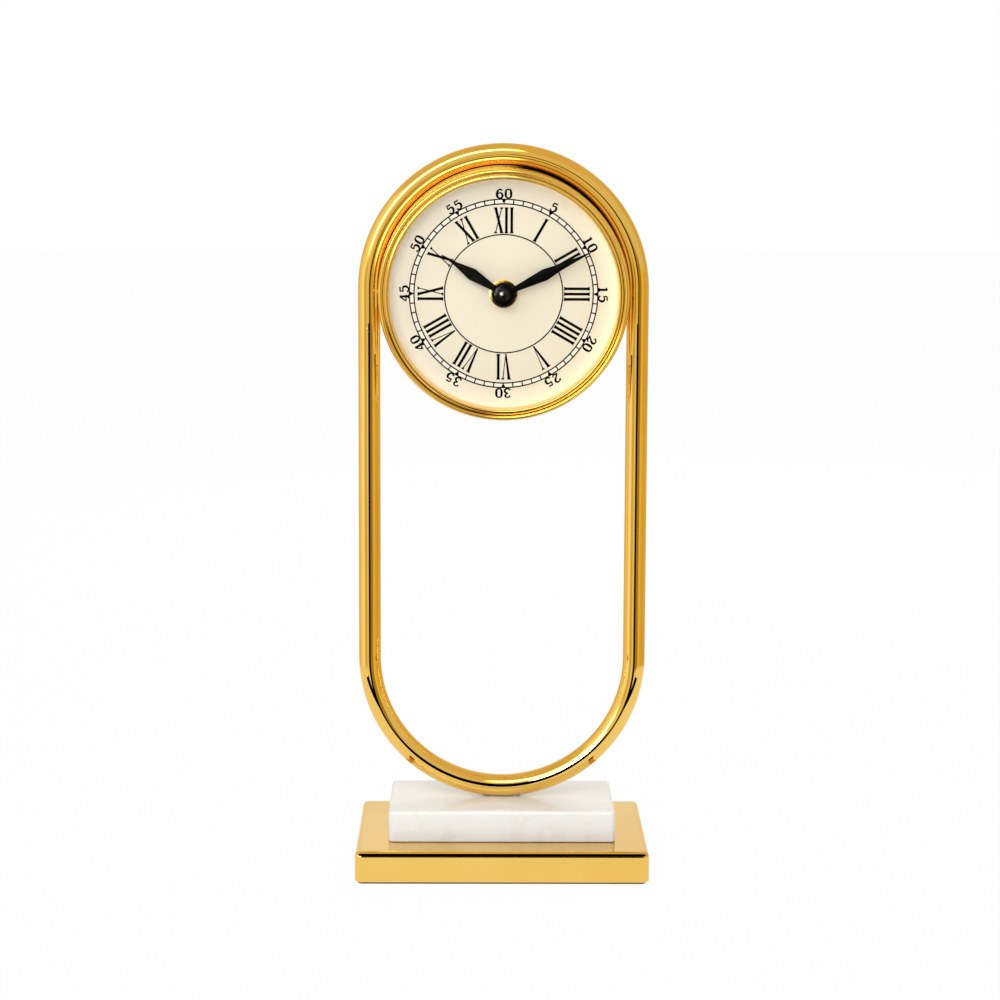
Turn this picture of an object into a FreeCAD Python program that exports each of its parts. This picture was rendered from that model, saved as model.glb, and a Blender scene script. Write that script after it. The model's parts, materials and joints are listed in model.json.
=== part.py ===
import FreeCAD, Part
import math
import os
import re
import Sketcher

# Round-dial mantel clock: a polished oval hoop on a marble block and a metal base plate.
# Frame: +Z up, dial towards -Y, origin at the middle of the underside.

os.makedirs("parts", exist_ok=True)
doc = FreeCAD.newDocument("mantel_clock")
Vector = FreeCAD.Vector

# Driving sizes, in millimetres and degrees
SIZES = {
    # base
    "base_width": 152.4, "base_depth": 101.6, "plate_thickness": 16.1,
    "plate_corner": 3.5, "plate_top_round": 3.0, "plate_foot_round": 1.0,
    "cavity_wall": 4.0, "cavity_roof": 4.0, "boss_margin": 8.0, "dowel_boss_wall": 4.0,
    "felt_thickness": 1.0, "felt_inset": 1.6, "felt_corner": 3.0,
    "marble_width": 118.6, "marble_depth": 64.3, "marble_height": 16.5,
    "marble_round": 2.2, "marble_foot_round": 0.8,
    "dowel_radius": 2.5, "dowel_depth": 6.0, "dowel_spacing": 80.0,
    # hoop
    "hoop_width": 151.5, "hoop_height": 346.4, "tube_diameter": 11.6, "tube_wall": 1.5,
    "insert_angle": 26.0, "stud_radius": 2.0, "stud_spacing": 16.0, "stud_reach": 6.0,
    "stud_hole_play": 0.3, "nut_pocket_recess": 2.0, "nut_pocket_play": 1.5,
    "washer_radius": 4.5, "washer_thickness": 0.8,
    "stud_nut_radius": 3.9, "stud_nut_height": 3.2, "stud_tail": 1.0,
    # clock head
    "head_drop": 2.0, "head_gap": 2.15, "dial_offset": 5.0, "dial_thickness": 0.8,
    "dial_play": 0.2, "dial_hole_play": 0.2, "glass_thickness": 2.0, "glass_play": 0.1,
    "glass_step": 0.4, "gasket_thickness": 0.6, "gasket_width": 1.5,
    "drum_wall": 1.2, "shelf_width": 10.8, "shelf_thickness": 1.2, "slip_fit": 0.05,
    "post_radius": 3.5, "post_inset": 5.8, "post_first_angle": 30.0, "pilot_radius": 1.25,
    "pilot_depth": 10.0,
    "bezel_wall": 3.0, "bezel_depth": 11.2, "roll_width": 2.3, "roll_crown": 0.1,
    "groove_width": 1.4, "groove_depth": 1.8, "bevel_fall": 1.2, "bevel_width": 1.8,
    "bevel_depth": 0.8, "reflector_dial_step": 1.5, "reflector_glass_step": 0.6,
    "spacer_radius": 4.0, "case_screw_radius": 1.5, "case_screw_head": 2.75,
    "case_screw_head_height": 1.6, "screw_hole_play": 0.2,
    # back cover and battery door
    "cover_thickness": 2.0, "cover_gap": 0.7, "cover_play": 0.1, "cover_screw_radius": 1.5,
    "cover_head_radius": 2.75, "cover_head_height": 1.8, "cover_screw_length": 9.0,
    "screw_slot_width": 0.6, "screw_slot_depth": 0.8,
    "window_margin": 0.4, "knob_hole_play": 0.7,
    "door_side_lap": 3.0, "door_end_lap": 2.1, "door_thickness": 1.5, "door_play": 0.2,
    "rail_width": 2.3, "rail_lip": 1.5, "lip_thickness": 1.0, "stop_width": 40.0,
    "stop_height": 1.5, "rib_width": 30.0, "rib_height": 1.0, "rib_rise": 0.6,
    "rib_pitch": 2.6,
    # hands
    "minute_tip_gap": 9.0, "minute_width": 6.15, "minute_angle": 64.0,
    "hour_tip_gap": 21.2, "hour_width": 6.3, "hour_angle": 57.7,
    "hand_thickness": 0.4, "hour_hub": 4.6, "minute_hub": 4.0,
    "hour_hand_gap": 0.3, "hand_gap": 1.1,
    "cap_radius": 6.2, "cap_height": 3.1, "cap_rim": 0.5, "cap_clearance": 0.5,
    "hub_washer_margin": 1.7, "hub_washer_thickness": 0.8,
    "hub_nut_wall": 1.6, "hub_nut_height": 2.0,
    # quartz movement
    "box_wall": 1.2, "front_shell_depth": 6.0, "box_corner": 2.0,
    "bushing_radius": 4.0, "bushing_tail": 0.8,
    "bay_roof": 11.6, "bay_roof_thickness": 0.8, "bay_play": 0.4, "bay_lip": 1.2,
    "bay_floor_gap": 0.2,
    "running_play": 0.05, "pivot_depth": 0.8, "pivot_reach": 0.7,
    "first_layer": 0.5, "layer_pitch": 1.8, "wheel_thickness": 1.0, "pinion_overlap": 0.2,
    "motion_gap": 0.6, "motion_direction": 0.0,
    "third_distance": 10.2, "third_direction": 150.0,
    "intermediate_step": 0.4, "intermediate_direction": 75.0,
    "rotor_distance": 7.2, "rotor_direction": 60.0,
    "hour_pipe_radius": 2.5, "cannon_radius": 1.5, "second_arbor_radius": 0.6,
    "arbor_radius": 0.5, "rotor_arbor_radius": 0.4, "knob_arbor_radius": 1.0,
    "magnet_radius": 2.4, "magnet_thickness": 1.4,
    "knob_radius": 5.5, "knob_length": 6.0, "knob_gap": 0.4, "knob_flute": 0.7,
    "knob_edge": 0.5,
    "plate_left": 19.0, "plate_right": 17.0, "plate_gap": 0.3, "plate_high": 18.5,
    "train_plate_thickness": 1.0, "post_gap_fill": 0.9, "stator_post_radius": 1.2,
    "stator_left": 9.0, "stator_right": 19.0,
    "stator_leg": 4.0, "stator_bar": 7.2, "stator_thickness": 0.8, "stator_gap": 0.5,
    "core_height": 2.0, "bobbin_radius": 1.6, "bobbin_rim": 0.2, "coil_gap": 0.2, "coil_margin": 1.25,
    "bobbin_flange_thickness": 1.0, "winding_radius": 2.8, "bobbin_play": 0.5,
    "board_gap": 1.8, "board_right": 10.0, "board_low": 8.0, "board_high": 22.0,
    "board_thickness": 0.6, "crystal_radius": 1.0, "crystal_length": 6.0,
    "chip_radius": 2.2, "chip_height": 0.8,
    "battery_radius": 7.1, "battery_length": 49.0, "battery_nub_radius": 2.75,
    "battery_nub": 1.3, "battery_front_gap": 0.3, "battery_rear_gap": 0.3,
    "contact_room": 1.65, "contact_thickness": 0.4, "contact_height": 9.0, "contact_depth": 8.0,
    "contact_coil_radius": 3.0, "contact_play": 0.05,
    # how far every cutting shape runs past what it cuts
    "overrun": 1.0,
}
TOOTH_COUNTS = {
    "cannon_teeth": 12, "motion_teeth": 36, "motion_pinion_teeth": 10, "hour_teeth": 40,
    "centre_teeth": 60, "third_pinion_teeth": 8, "third_teeth": 64, "second_pinion_teeth": 8,
    "second_teeth": 60, "intermediate_pinion_teeth": 10, "intermediate_teeth": 50,
    "rotor_pinion_teeth": 10,
}
COVER_SCREW_COUNT = 3
KNOB_FLUTE_COUNT = 16
DOOR_RIB_COUNT = 3

# Places that follow from the driving sizes
PLACES = {
    "plate_top": "felt_thickness + plate_thickness",
    "marble_top": "plate_top + marble_height",
    "nut_pocket_depth": "stud_tail + stud_nut_height + washer_thickness + nut_pocket_recess",
    "nut_pocket_breadth": "2 * (washer_radius + nut_pocket_play)",
    "nut_pocket_width": "stud_spacing + nut_pocket_breadth",
    "nut_seat": "felt_thickness + nut_pocket_depth",
    "hoop_radius": "(hoop_width - tube_diameter) / 2",
    "tube_radius": "tube_diameter / 2",
    "tube_bore": "tube_radius - tube_wall",
    "lower_centre": "marble_top + hoop_width / 2",
    "upper_centre": "marble_top + hoop_height - hoop_width / 2",
    "head_z": "upper_centre - head_drop",
    "drum_radius": "hoop_radius - tube_radius - head_gap",
    "drum_bore": "drum_radius - drum_wall",
    "dial_radius": "drum_bore - dial_play",
    "dial_face": "-dial_offset",
    "dial_back": "dial_face + dial_thickness",
    "shelf_back": "dial_back + shelf_thickness",
    "hour_hand_lift": "hub_washer_thickness + hub_nut_height + bushing_tail + hour_hand_gap",
    "minute_hand_lift": "hour_hand_lift + hand_thickness + hand_gap",
    "glass_back": "dial_face - minute_hand_lift - hand_thickness - cap_height - cap_clearance",
    "glass_front": "glass_back - glass_thickness",
    "glass_radius": "bezel_seat - glass_play",
    "drum_front": "glass_back + gasket_thickness",
    "bezel_radius": "drum_radius + bezel_wall",
    "bezel_seat": "drum_radius - glass_step",
    "bezel_opening": "bevel_outer - bevel_width",
    "roll_round": "(roll_width - roll_crown) / 2",
    "reflector_dial_radius": "drum_bore - reflector_dial_step",
    "reflector_glass_radius": "drum_bore - reflector_glass_step",
    "post_circle": "drum_bore - post_inset",
    "bevel_edge": "glass_front - bevel_depth",
    "bevel_crest": "bevel_edge - bevel_fall",
    "bezel_front": "groove_floor - groove_depth",
    "groove_floor": "bevel_crest + bevel_fall - slip_fit",
    "bezel_rear": "bezel_front + bezel_depth",
    "roll_inner": "bezel_radius - roll_width",
    "bevel_outer": "roll_inner - groove_width",
    "cover_front": "movement_rear + cover_gap",
    "drum_rear": "cover_front + cover_thickness",
    "battery_reach": "(battery_length + battery_nub) / 2 + contact_room",
    "coil_reach": "coil_level + bobbin_flange + coil_margin",
    "bay_height": "2 * (battery_radius + bay_play)",
    "bay_reach": "bay_roof + bay_height + bay_floor_gap",
    "inside_half": "max(battery_reach; coil_reach; bay_reach)",
    "box_size": "2 * (inside_half + box_wall)",
    "box_depth": "box_wall + battery_front_gap + 2 * battery_radius + battery_rear_gap",
    "movement_front": "dial_back",
    "inside": "movement_front + box_wall",
    "seam": "movement_front + front_shell_depth",
    "movement_rear": "movement_front + box_depth",
    "inside_rear": "movement_rear - box_wall",
    "bay_width": "2 * (inside_half - bay_lip)",
    "battery_drop": "inside_half - bay_floor_gap - bay_height / 2",
    "window_width": "bay_width + 2 * window_margin",
    "window_height": "bay_height + 2 * window_margin",
    "door_width": "window_width + 2 * door_side_lap",
    "door_height": "window_height + 2 * door_end_lap",
    "layer_one": "inside + first_layer",
    "layer_two": "layer_one + layer_pitch",
    "layer_three": "layer_two + layer_pitch",
    "layer_four": "layer_three + layer_pitch",
    "layer_five": "layer_four + layer_pitch",
    "layer_six": "layer_five + layer_pitch",
    "layer_seven": "layer_six + layer_pitch",
    "pinion_length": "wheel_thickness + 2 * pinion_overlap",
    "plate_rear": "layer_five + train_plate_thickness",
    "stator_front": "plate_rear + post_gap_fill",
    "core_front": "stator_front - stator_thickness",
    "coil_depth": "core_front + stator_thickness / 2",
    "bobbin_flange": "winding_radius + bobbin_rim",
    "stator_low": "rotor_z - stator_bar / 2",
    "coil_level": "stator_low + stator_bar + coil_gap + bobbin_flange",
    "stator_high": "coil_level + stator_leg / 2 - slip_fit",
    "plate_low": "bay_roof - bay_roof_thickness - plate_gap",
    "board_left": "inside_half - board_gap",
    "motion_distance": "third_distance + motion_gap",
    "intermediate_distance": "third_distance - intermediate_step",
    "motion_x": "motion_distance * cos(motion_direction)",
    "motion_z": "motion_distance * sin(motion_direction)",
    "third_x": "third_distance * cos(third_direction)",
    "third_z": "third_distance * sin(third_direction)",
    "intermediate_x": "intermediate_distance * cos(intermediate_direction)",
    "intermediate_z": "intermediate_distance * sin(intermediate_direction)",
    "rotor_x": "intermediate_x + rotor_distance * cos(rotor_direction)",
    "rotor_z": "intermediate_z + rotor_distance * sin(rotor_direction)",
    "battery_depth": "inside + battery_front_gap + battery_radius",
    "minute_length": "reflector_dial_radius - minute_tip_gap",
    "hour_length": "reflector_dial_radius - hour_tip_gap",
    "hub_nut_radius": "bushing_radius + hub_nut_wall",
    "hub_washer_radius": "hub_nut_radius + hub_washer_margin",
    "hour_hand_back": "dial_face - hour_hand_lift",
    "minute_hand_back": "dial_face - minute_hand_lift",
    "minute_hand_front": "minute_hand_back - hand_thickness",
    "bushing_front": "dial_face - hub_washer_thickness - hub_nut_height - bushing_tail",
    "door_front": "drum_rear + door_play / 2",
    "door_rear": "door_front + door_thickness",
    "rail_height": "door_thickness + door_play",
}


def make_sheet(name, cells):
    sheet = doc.addObject("Spreadsheet::Sheet", name)
    for row, (alias, value) in enumerate(cells.items(), start=1):
        sheet.set("A%d" % row, alias)
        sheet.set("B%d" % row, value)
        sheet.setAlias("B%d" % row, alias)
    doc.recompute()
    return sheet


def linked(text, own=None):
    """The text with each sheet name that it uses put in front of the alias."""
    def with_sheet(match):
        word = match.group(0)
        if word in SIZES:
            return "Sizes." + word
        if word in PLACES and own != "Places":
            return "Places." + word
        return word
    return re.sub(r"[A-Za-z_]+[A-Za-z0-9_]*", with_sheet, text)


sizes = make_sheet("Sizes", {alias: str(value) for alias, value in SIZES.items()})
places = make_sheet("Places", {alias: "=" + linked(text, "Places") for alias, text in PLACES.items()})


def number(text):
    return float(sizes.evalExpression(linked(text)))


SAME_PLACE = number("slip_fit / 100")  # two edges nearer than this are taken as in line


def turned(radius, angle):
    """Two coordinate texts for a point at a radius and an angle."""
    return "%s * cos(%s)" % (radius, angle), "%s * sin(%s)" % (radius, angle)


# Sketches and bodies

def put(item, x="0", y="0", z="0"):
    for name, text in zip("xyz", (x, y, z)):
        if text != "0":
            item.setExpression(".Placement.Base." + name, linked(text))
    return item


def new_body(label, x="0", y="0", z="0"):
    body = doc.addObject("PartDesign::Body", label)
    body.Label = label
    return put(body, x, y, z)


def new_sketch(body, plane, offset="0"):
    sketch = body.newObject("Sketcher::SketchObject", body.Name + "_sketch")
    origin_plane = next(item for item in body.Origin.OriginFeatures if item.Role == plane)
    sketch.AttachmentSupport = [(origin_plane, "")]
    sketch.MapMode = "FlatFace"
    if offset != "0":
        sketch.setExpression(".AttachmentOffset.Base.z", linked(offset))
    return sketch


def fix(sketch, kind, geometry, point, text):
    """One dimension of a sketch, bound to the sheet."""
    if point:
        place = sketch.addConstraint(Sketcher.Constraint(kind, geometry, point, number(text)))
    else:
        place = sketch.addConstraint(Sketcher.Constraint(kind, geometry, number(text)))
    if text != "0":
        sketch.setExpression("Constraints[%d]" % place, linked(text))


def circle(sketch, radius, x="0", y="0"):
    centre = Vector(number(x), number(y), 0)
    ring = sketch.addGeometry(Part.Circle(centre, Vector(0, 0, 1), number(radius)), False)
    fix(sketch, "DistanceX", ring, 3, x)
    fix(sketch, "DistanceY", ring, 3, y)
    fix(sketch, "Radius", ring, 0, radius)


def outline(sketch, points):
    """A closed outline of straight edges with every corner bound to the sheet."""
    corners = [Vector(number(x), number(y), 0) for x, y in points]
    lines = []
    for here, there in zip(corners, corners[1:] + corners[:1]):
        lines.append(sketch.addGeometry(Part.LineSegment(here, there), False))
    for line, following in zip(lines, lines[1:] + lines[:1]):
        sketch.addConstraint(Sketcher.Constraint("Coincident", line, 2, following, 1))
    for line, (x, y) in zip(lines, points):
        fix(sketch, "DistanceX", line, 1, x)
        fix(sketch, "DistanceY", line, 1, y)


def rectangle(sketch, width, height, x="0", y="0"):
    left, right = "%s - %s / 2" % (x, width), "%s + %s / 2" % (x, width)
    low, high = "%s - %s / 2" % (y, height), "%s + %s / 2" % (y, height)
    outline(sketch, [(left, low), (right, low), (right, high), (left, high)])


def add_feature(body, kind, sketch, sizes_of, **settings):
    feature = body.newObject("PartDesign::" + kind, body.Name + "_" + kind.lower())
    feature.Profile = sketch
    for name, text in sizes_of.items():
        feature.setExpression(name, linked(text))
    for name, value in settings.items():
        setattr(feature, name, value)
    doc.recompute()
    return feature


def pad(body, sketch, length, back=False):
    return add_feature(body, "Pad", sketch, {"Length": length}, Reversed=back)


def pocket(body, sketch, length, back=False, both=False):
    before = body.Shape.Volume
    side = "Symmetric" if both else "One side"
    feature = add_feature(body, "Pocket", sketch, {"Length": length}, Reversed=back, SideType=side)
    if body.Shape.Volume >= before:
        raise RuntimeError(body.Label + ": a pocket took nothing away")
    return feature


def revolve(body, sketch, angle=360, back=False):
    axis = (sketch, ["V_Axis"])
    return add_feature(body, "Revolution", sketch, {}, ReferenceAxis=axis, Angle=angle, Reversed=back)


def rounded(body, radius, wanted):
    """A fillet along each edge of the body whose middle the test accepts."""
    base = body.Tip
    names = ["Edge%d" % place for place, edge in enumerate(base.Shape.Edges, start=1)
             if wanted(edge, edge.CenterOfMass)]
    feature = body.newObject("PartDesign::Fillet", body.Name + "_fillet")
    feature.Base = (base, names)
    feature.setExpression("Radius", linked(radius))
    doc.recompute()
    return feature


def at_height(height):
    level = number(height)
    return lambda edge, middle: (abs(middle.z - level) < SAME_PLACE
                                 and abs(edge.Vertexes[0].Z - level) < SAME_PLACE)


def runs_along(axis):
    def wanted(edge, middle):
        if len(edge.Vertexes) < 2:
            return False
        step = edge.Vertexes[1].Point - edge.Vertexes[0].Point
        return step.cross(axis).Length < SAME_PLACE
    return wanted


UPRIGHT = runs_along(Vector(0, 0, 1))
FRONT_TO_BACK = runs_along(Vector(0, 1, 0))


def ring_edge(radius, depth):
    return lambda edge, middle: (hasattr(edge.Curve, "Radius")
                                 and abs(edge.Curve.Radius - number(radius)) < SAME_PLACE
                                 and abs(middle.y - number(depth)) < SAME_PLACE)


# Solid primitives

# The turn that lays a primitive's own axis along x, y or z, or lifts its own Y upwards
FORWARD = {"x": (Vector(0, 1, 0), 90), "y": (Vector(1, 0, 0), -90), "z": (Vector(0, 0, 1), 0),
           "up": (Vector(1, 0, 0), 90)}


def primitive(kind, label, bound, x="0", y="0", z="0", along="z"):
    item = doc.addObject("Part::" + kind, label)
    for name, text in bound.items():
        item.setExpression(name, linked(text))
    item.Placement = FreeCAD.Placement(Vector(), FreeCAD.Rotation(*FORWARD[along]))
    return put(item, x, y, z)


def rod(label, radius, length, x="0", y="0", z="0", along="z"):
    return primitive("Cylinder", label, {"Radius": radius, "Height": length}, x, y, z, along)


def block(label, width, depth, height, x, y, z):
    """A box from its lowest corner."""
    return primitive("Box", label, {"Length": width, "Width": depth, "Height": height}, x, y, z)


def minus(label, base, tool):
    item = doc.addObject("Part::Cut", label)
    item.Base = base
    item.Tool = tool
    return item


def joined(label, shapes):
    item = doc.addObject("Part::MultiFuse", label)
    item.Shapes = shapes
    return item


def group(label, shapes):
    item = doc.addObject("Part::Compound", label)
    item.Links = shapes
    return item


def mirrored(label, source):
    """The same piece on the other side of the YZ plane."""
    item = doc.addObject("Part::Mirroring", label)
    item.Source = source
    item.Normal = Vector(1, 0, 0)
    return item


def tube(label, radius, bore, length, x="0", y="0", z="0", along="z"):
    return minus(label, rod(label + "_body", radius, length, x, y, z, along),
                 rod(label + "_bore", bore, length, x, y, z, along))


# Base

def make_base_plate():
    body = new_body("base_plate")
    outer = new_sketch(body, "XY_Plane", "felt_thickness")
    rectangle(outer, "base_width", "base_depth")
    pad(body, outer, "plate_thickness")
    rounded(body, "plate_corner", UPRIGHT)
    rounded(body, "plate_top_round", at_height("plate_top"))
    rounded(body, "plate_foot_round", at_height("felt_thickness"))
    cavity = new_sketch(body, "XY_Plane", "felt_thickness")
    rectangle(cavity, "(base_width - 2 * cavity_wall)", "(base_depth - 2 * cavity_wall)")
    rectangle(cavity, "(nut_pocket_width + 2 * boss_margin)", "(nut_pocket_breadth + 2 * boss_margin)")
    for side in ("-", ""):
        circle(cavity, "dowel_radius + dowel_boss_wall", side + "dowel_spacing / 2")
    pocket(body, cavity, "plate_thickness - cavity_roof", back=True)
    nut_pocket = new_sketch(body, "XY_Plane", "felt_thickness")
    rectangle(nut_pocket, "nut_pocket_width", "nut_pocket_breadth")
    pocket(body, nut_pocket, "nut_pocket_depth", back=True)
    stud_holes = new_sketch(body, "XY_Plane", "plate_top")
    dowel_holes = new_sketch(body, "XY_Plane", "plate_top")
    for side in ("-", ""):
        circle(stud_holes, "stud_radius + stud_hole_play", side + "stud_spacing / 2")
        circle(dowel_holes, "dowel_radius", side + "dowel_spacing / 2")
    pocket(body, stud_holes, "plate_thickness")
    pocket(body, dowel_holes, "dowel_depth")


def make_base_felt():
    body = new_body("base_felt")
    sheet = new_sketch(body, "XY_Plane")
    rectangle(sheet, "(base_width - 2 * felt_inset)", "(base_depth - 2 * felt_inset)")
    pad(body, sheet, "felt_thickness")
    rounded(body, "felt_corner", UPRIGHT)


def make_marble_block():
    body = new_body("marble_block")
    outer = new_sketch(body, "XY_Plane", "plate_top")
    rectangle(outer, "marble_width", "marble_depth")
    pad(body, outer, "marble_height")
    rounded(body, "marble_round", UPRIGHT)
    rounded(body, "marble_round", at_height("marble_top"))
    rounded(body, "marble_foot_round", at_height("plate_top"))
    stud_holes = new_sketch(body, "XY_Plane", "marble_top")
    dowel_holes = new_sketch(body, "XY_Plane", "plate_top")
    for side in ("-", ""):
        circle(stud_holes, "stud_radius + stud_hole_play", side + "stud_spacing / 2")
        circle(dowel_holes, "dowel_radius", side + "dowel_spacing / 2")
    pocket(body, stud_holes, "marble_height")
    pocket(body, dowel_holes, "dowel_depth", back=True)


def make_dowels():
    pins = [rod("dowel_pin", "dowel_radius", "2 * dowel_depth", side + "dowel_spacing / 2", "0",
                "plate_top - dowel_depth") for side in ("-", "")]
    group("marble_dowels", pins)


# Hoop and its fixings

def make_hoop():
    body = new_body("hoop_tube")

    def arch(centre, over):
        section = new_sketch(body, "XY_Plane", centre)
        circle(section, "tube_radius", "hoop_radius")
        circle(section, "tube_bore", "hoop_radius")
        revolve(body, section, 180, back=over)

    arch("upper_centre", True)
    legs = new_sketch(body, "XY_Plane", "upper_centre")
    for side in ("-", ""):
        circle(legs, "tube_radius", side + "hoop_radius")
        circle(legs, "tube_bore", side + "hoop_radius")
    pad(body, legs, "upper_centre - lower_centre", back=True)
    arch("lower_centre", False)
    stud_holes = new_sketch(body, "XY_Plane", "marble_top")
    for side in ("-", ""):
        circle(stud_holes, "stud_radius", side + "stud_spacing / 2")
    pocket(body, stud_holes, "tube_radius", back=True)
    case_holes = new_sketch(body, "YZ_Plane")
    circle(case_holes, "case_screw_radius", "0", "head_z")
    pocket(body, case_holes, "2 * hoop_radius", both=True)


def make_hoop_insert():
    """The solid plug inside the tube that the two studs screw into."""
    body = new_body("hoop_insert", z="lower_centre")
    section = new_sketch(body, "YZ_Plane")
    circle(section, "tube_bore", "0", "-hoop_radius")
    add_feature(body, "Revolution", section, {"Angle": "insert_angle"},
                ReferenceAxis=(section, ["H_Axis"]), Midplane=True)
    holes = new_sketch(body, "XY_Plane", "-hoop_width / 2")
    for side in ("-", ""):
        circle(holes, "stud_radius", side + "stud_spacing / 2")
    pocket(body, holes, "tube_wall + stud_reach", back=True)


def make_stud_set():
    studs, washers, nuts = [], [], []
    tail = "nut_seat - washer_thickness - stud_nut_height - stud_tail"
    for side in ("-", ""):
        x = side + "stud_spacing / 2"
        length = "marble_top + tube_wall + stud_reach - (%s)" % tail
        studs.append(rod("stud", "stud_radius", length, x, "0", tail))
        washers.append(tube("stud_washer", "washer_radius", "stud_radius", "washer_thickness",
                            x, "0", "nut_seat - washer_thickness"))
        nut = primitive("Prism", "stud_nut", {"Circumradius": "stud_nut_radius",
                                              "Height": "stud_nut_height"},
                        x, "0", "nut_seat - washer_thickness - stud_nut_height")
        bore = rod("stud_nut_bore", "stud_radius", "stud_nut_height",
                   x, "0", "nut_seat - washer_thickness - stud_nut_height")
        nuts.append(minus("stud_hexagon", nut, bore))
    group("hoop_studs", studs)
    group("stud_washers", washers)
    group("stud_nuts", nuts)


# Clock head

def make_drum_case():
    body = new_body("drum_case", z="head_z")
    wall = new_sketch(body, "XY_Plane")
    shelf_edge = "drum_bore - shelf_width"
    outline(wall, [("drum_bore", "drum_front"), ("drum_radius", "drum_front"),
                   ("drum_radius", "drum_rear"), ("drum_bore", "drum_rear"),
                   ("drum_bore", "shelf_back"), (shelf_edge, "shelf_back"),
                   (shelf_edge, "dial_back"), ("drum_bore", "dial_back")])
    revolve(body, wall)
    posts = new_sketch(body, "XZ_Plane", "-dial_back")
    pilots = new_sketch(body, "XZ_Plane", "-cover_front")
    for x, y in cover_screw_places():
        circle(posts, "post_radius", x, y)
        circle(pilots, "pilot_radius", x, y)
    pad(body, posts, "cover_front - dial_back", back=True)
    pocket(body, pilots, "pilot_depth", back=True)
    side_holes = new_sketch(body, "YZ_Plane")
    circle(side_holes, "case_screw_radius + screw_hole_play")
    pocket(body, side_holes, "2 * drum_radius + 2 * overrun", both=True)


def cover_screw_places():
    return [turned("post_circle", "post_first_angle + %d * 360 / %d" % (place, COVER_SCREW_COUNT))
            for place in range(COVER_SCREW_COUNT)]


def make_bezel_ring():
    body = new_body("bezel_ring", z="head_z")
    profile = new_sketch(body, "XY_Plane")
    outline(profile, [("drum_radius + slip_fit", "bezel_rear"), ("bezel_radius", "bezel_rear"),
                      ("bezel_radius", "bezel_front"), ("roll_inner", "bezel_front"),
                      ("roll_inner", "groove_floor"), ("bevel_outer", "groove_floor"),
                      ("bevel_outer", "bevel_crest"), ("bezel_opening", "bevel_edge"),
                      ("bezel_opening", "glass_front"), ("bezel_seat", "glass_front"),
                      ("bezel_seat", "drum_front"), ("drum_radius + slip_fit", "drum_front")])
    revolve(body, profile)
    for radius in ("bezel_radius", "roll_inner"):
        rounded(body, "roll_round", ring_edge(radius, "bezel_front"))


def make_glass():
    rod("glass_lens", "glass_radius", "glass_thickness", y="glass_front", z="head_z", along="y")
    tube("lens_gasket", "glass_radius", "glass_radius - gasket_width", "gasket_thickness",
         y="glass_back", z="head_z", along="y")


def make_reflector_ring():
    body = new_body("reflector_ring", z="head_z")
    profile = new_sketch(body, "XY_Plane")
    outline(profile, [("reflector_glass_radius", "drum_front"), ("drum_bore - slip_fit", "drum_front"),
                      ("drum_bore - slip_fit", "dial_face"), ("reflector_dial_radius", "dial_face")])
    revolve(body, profile)


def make_dial_plate():
    body = new_body("dial_plate", z="head_z")
    disc = new_sketch(body, "XZ_Plane", "-dial_face")
    circle(disc, "dial_radius")
    circle(disc, "bushing_radius + dial_hole_play")
    pad(body, disc, "dial_thickness", back=True)


def make_case_fixings():
    """Screws through the drum's sides, with saddle-ended spacers against the hoop."""
    reach = "hoop_radius - drum_bore"
    blank = rod("spacer_blank", "spacer_radius", reach, "drum_bore", "0", "head_z", "x")
    drum = rod("spacer_drum_side", "drum_radius", "2 * drum_radius", "0", "-drum_radius", "head_z", "y")
    leg = rod("spacer_hoop_side", "tube_radius", "2 * drum_radius", "hoop_radius", "0",
              "head_z - drum_radius")
    arch = primitive("Torus", "spacer_arch_side", {"Radius1": "hoop_radius", "Radius2": "tube_radius"},
                     "0", "0", "upper_centre", "up")
    arch.Angle3 = 180
    hole = rod("spacer_hole", "case_screw_radius", reach, "drum_bore", "0", "head_z", "x")
    spacer = minus("spacer", blank, joined("spacer_cuts", [drum, leg, arch, hole]))
    inner_end = "drum_bore - case_screw_head_height"
    shank = rod("case_screw_shank", "case_screw_radius", reach + " + case_screw_head_height",
                inner_end, "0", "head_z", "x")
    cap = rod("case_screw_cap", "case_screw_head", "case_screw_head_height", inner_end, "0", "head_z", "x")
    inside = rod("case_screw_limit", "drum_bore", "2 * drum_radius", "0", "-drum_radius", "head_z", "y")
    head = doc.addObject("Part::MultiCommon", "case_screw_head_trimmed")
    head.Shapes = [cap, inside]
    screw = joined("case_screw", [shank, head])
    group("case_spacers", [spacer, mirrored("left_spacer", spacer)])
    group("case_screws", [screw, mirrored("left_case_screw", screw)])


def make_back_cover():
    body = new_body("back_cover", z="head_z")
    disc = new_sketch(body, "XZ_Plane", "-cover_front")
    circle(disc, "drum_bore - cover_play")
    pad(body, disc, "cover_thickness", back=True)
    holes = new_sketch(body, "XZ_Plane", "-cover_front")
    rectangle(holes, "window_width", "window_height", "0", "-battery_drop")
    circle(holes, "knob_radius + knob_hole_play", "motion_x", "motion_z")
    for x, y in cover_screw_places():
        circle(holes, "cover_screw_radius + screw_hole_play", x, y)
    pocket(body, holes, "cover_thickness + overrun")
    rail_x = "(door_width / 2 + door_play + rail_width / 2)"
    rails = new_sketch(body, "XZ_Plane", "-drum_rear")
    for side in ("-", ""):
        rectangle(rails, "rail_width", "door_height", side + rail_x, "-battery_drop")
    stop_level = "-battery_drop + door_height / 2 + door_play + stop_height / 2"
    rectangle(rails, "stop_width", "stop_height", "0", stop_level)
    pad(body, rails, "rail_height", back=True)
    lip_x = "(door_width / 2 + door_play + rail_width - (rail_width + rail_lip) / 2)"
    lips = new_sketch(body, "XZ_Plane", "-drum_rear - rail_height")
    for side in ("-", ""):
        rectangle(lips, "(rail_width + rail_lip)", "door_height", side + lip_x, "-battery_drop")
    pad(body, lips, "lip_thickness", back=True)


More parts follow.
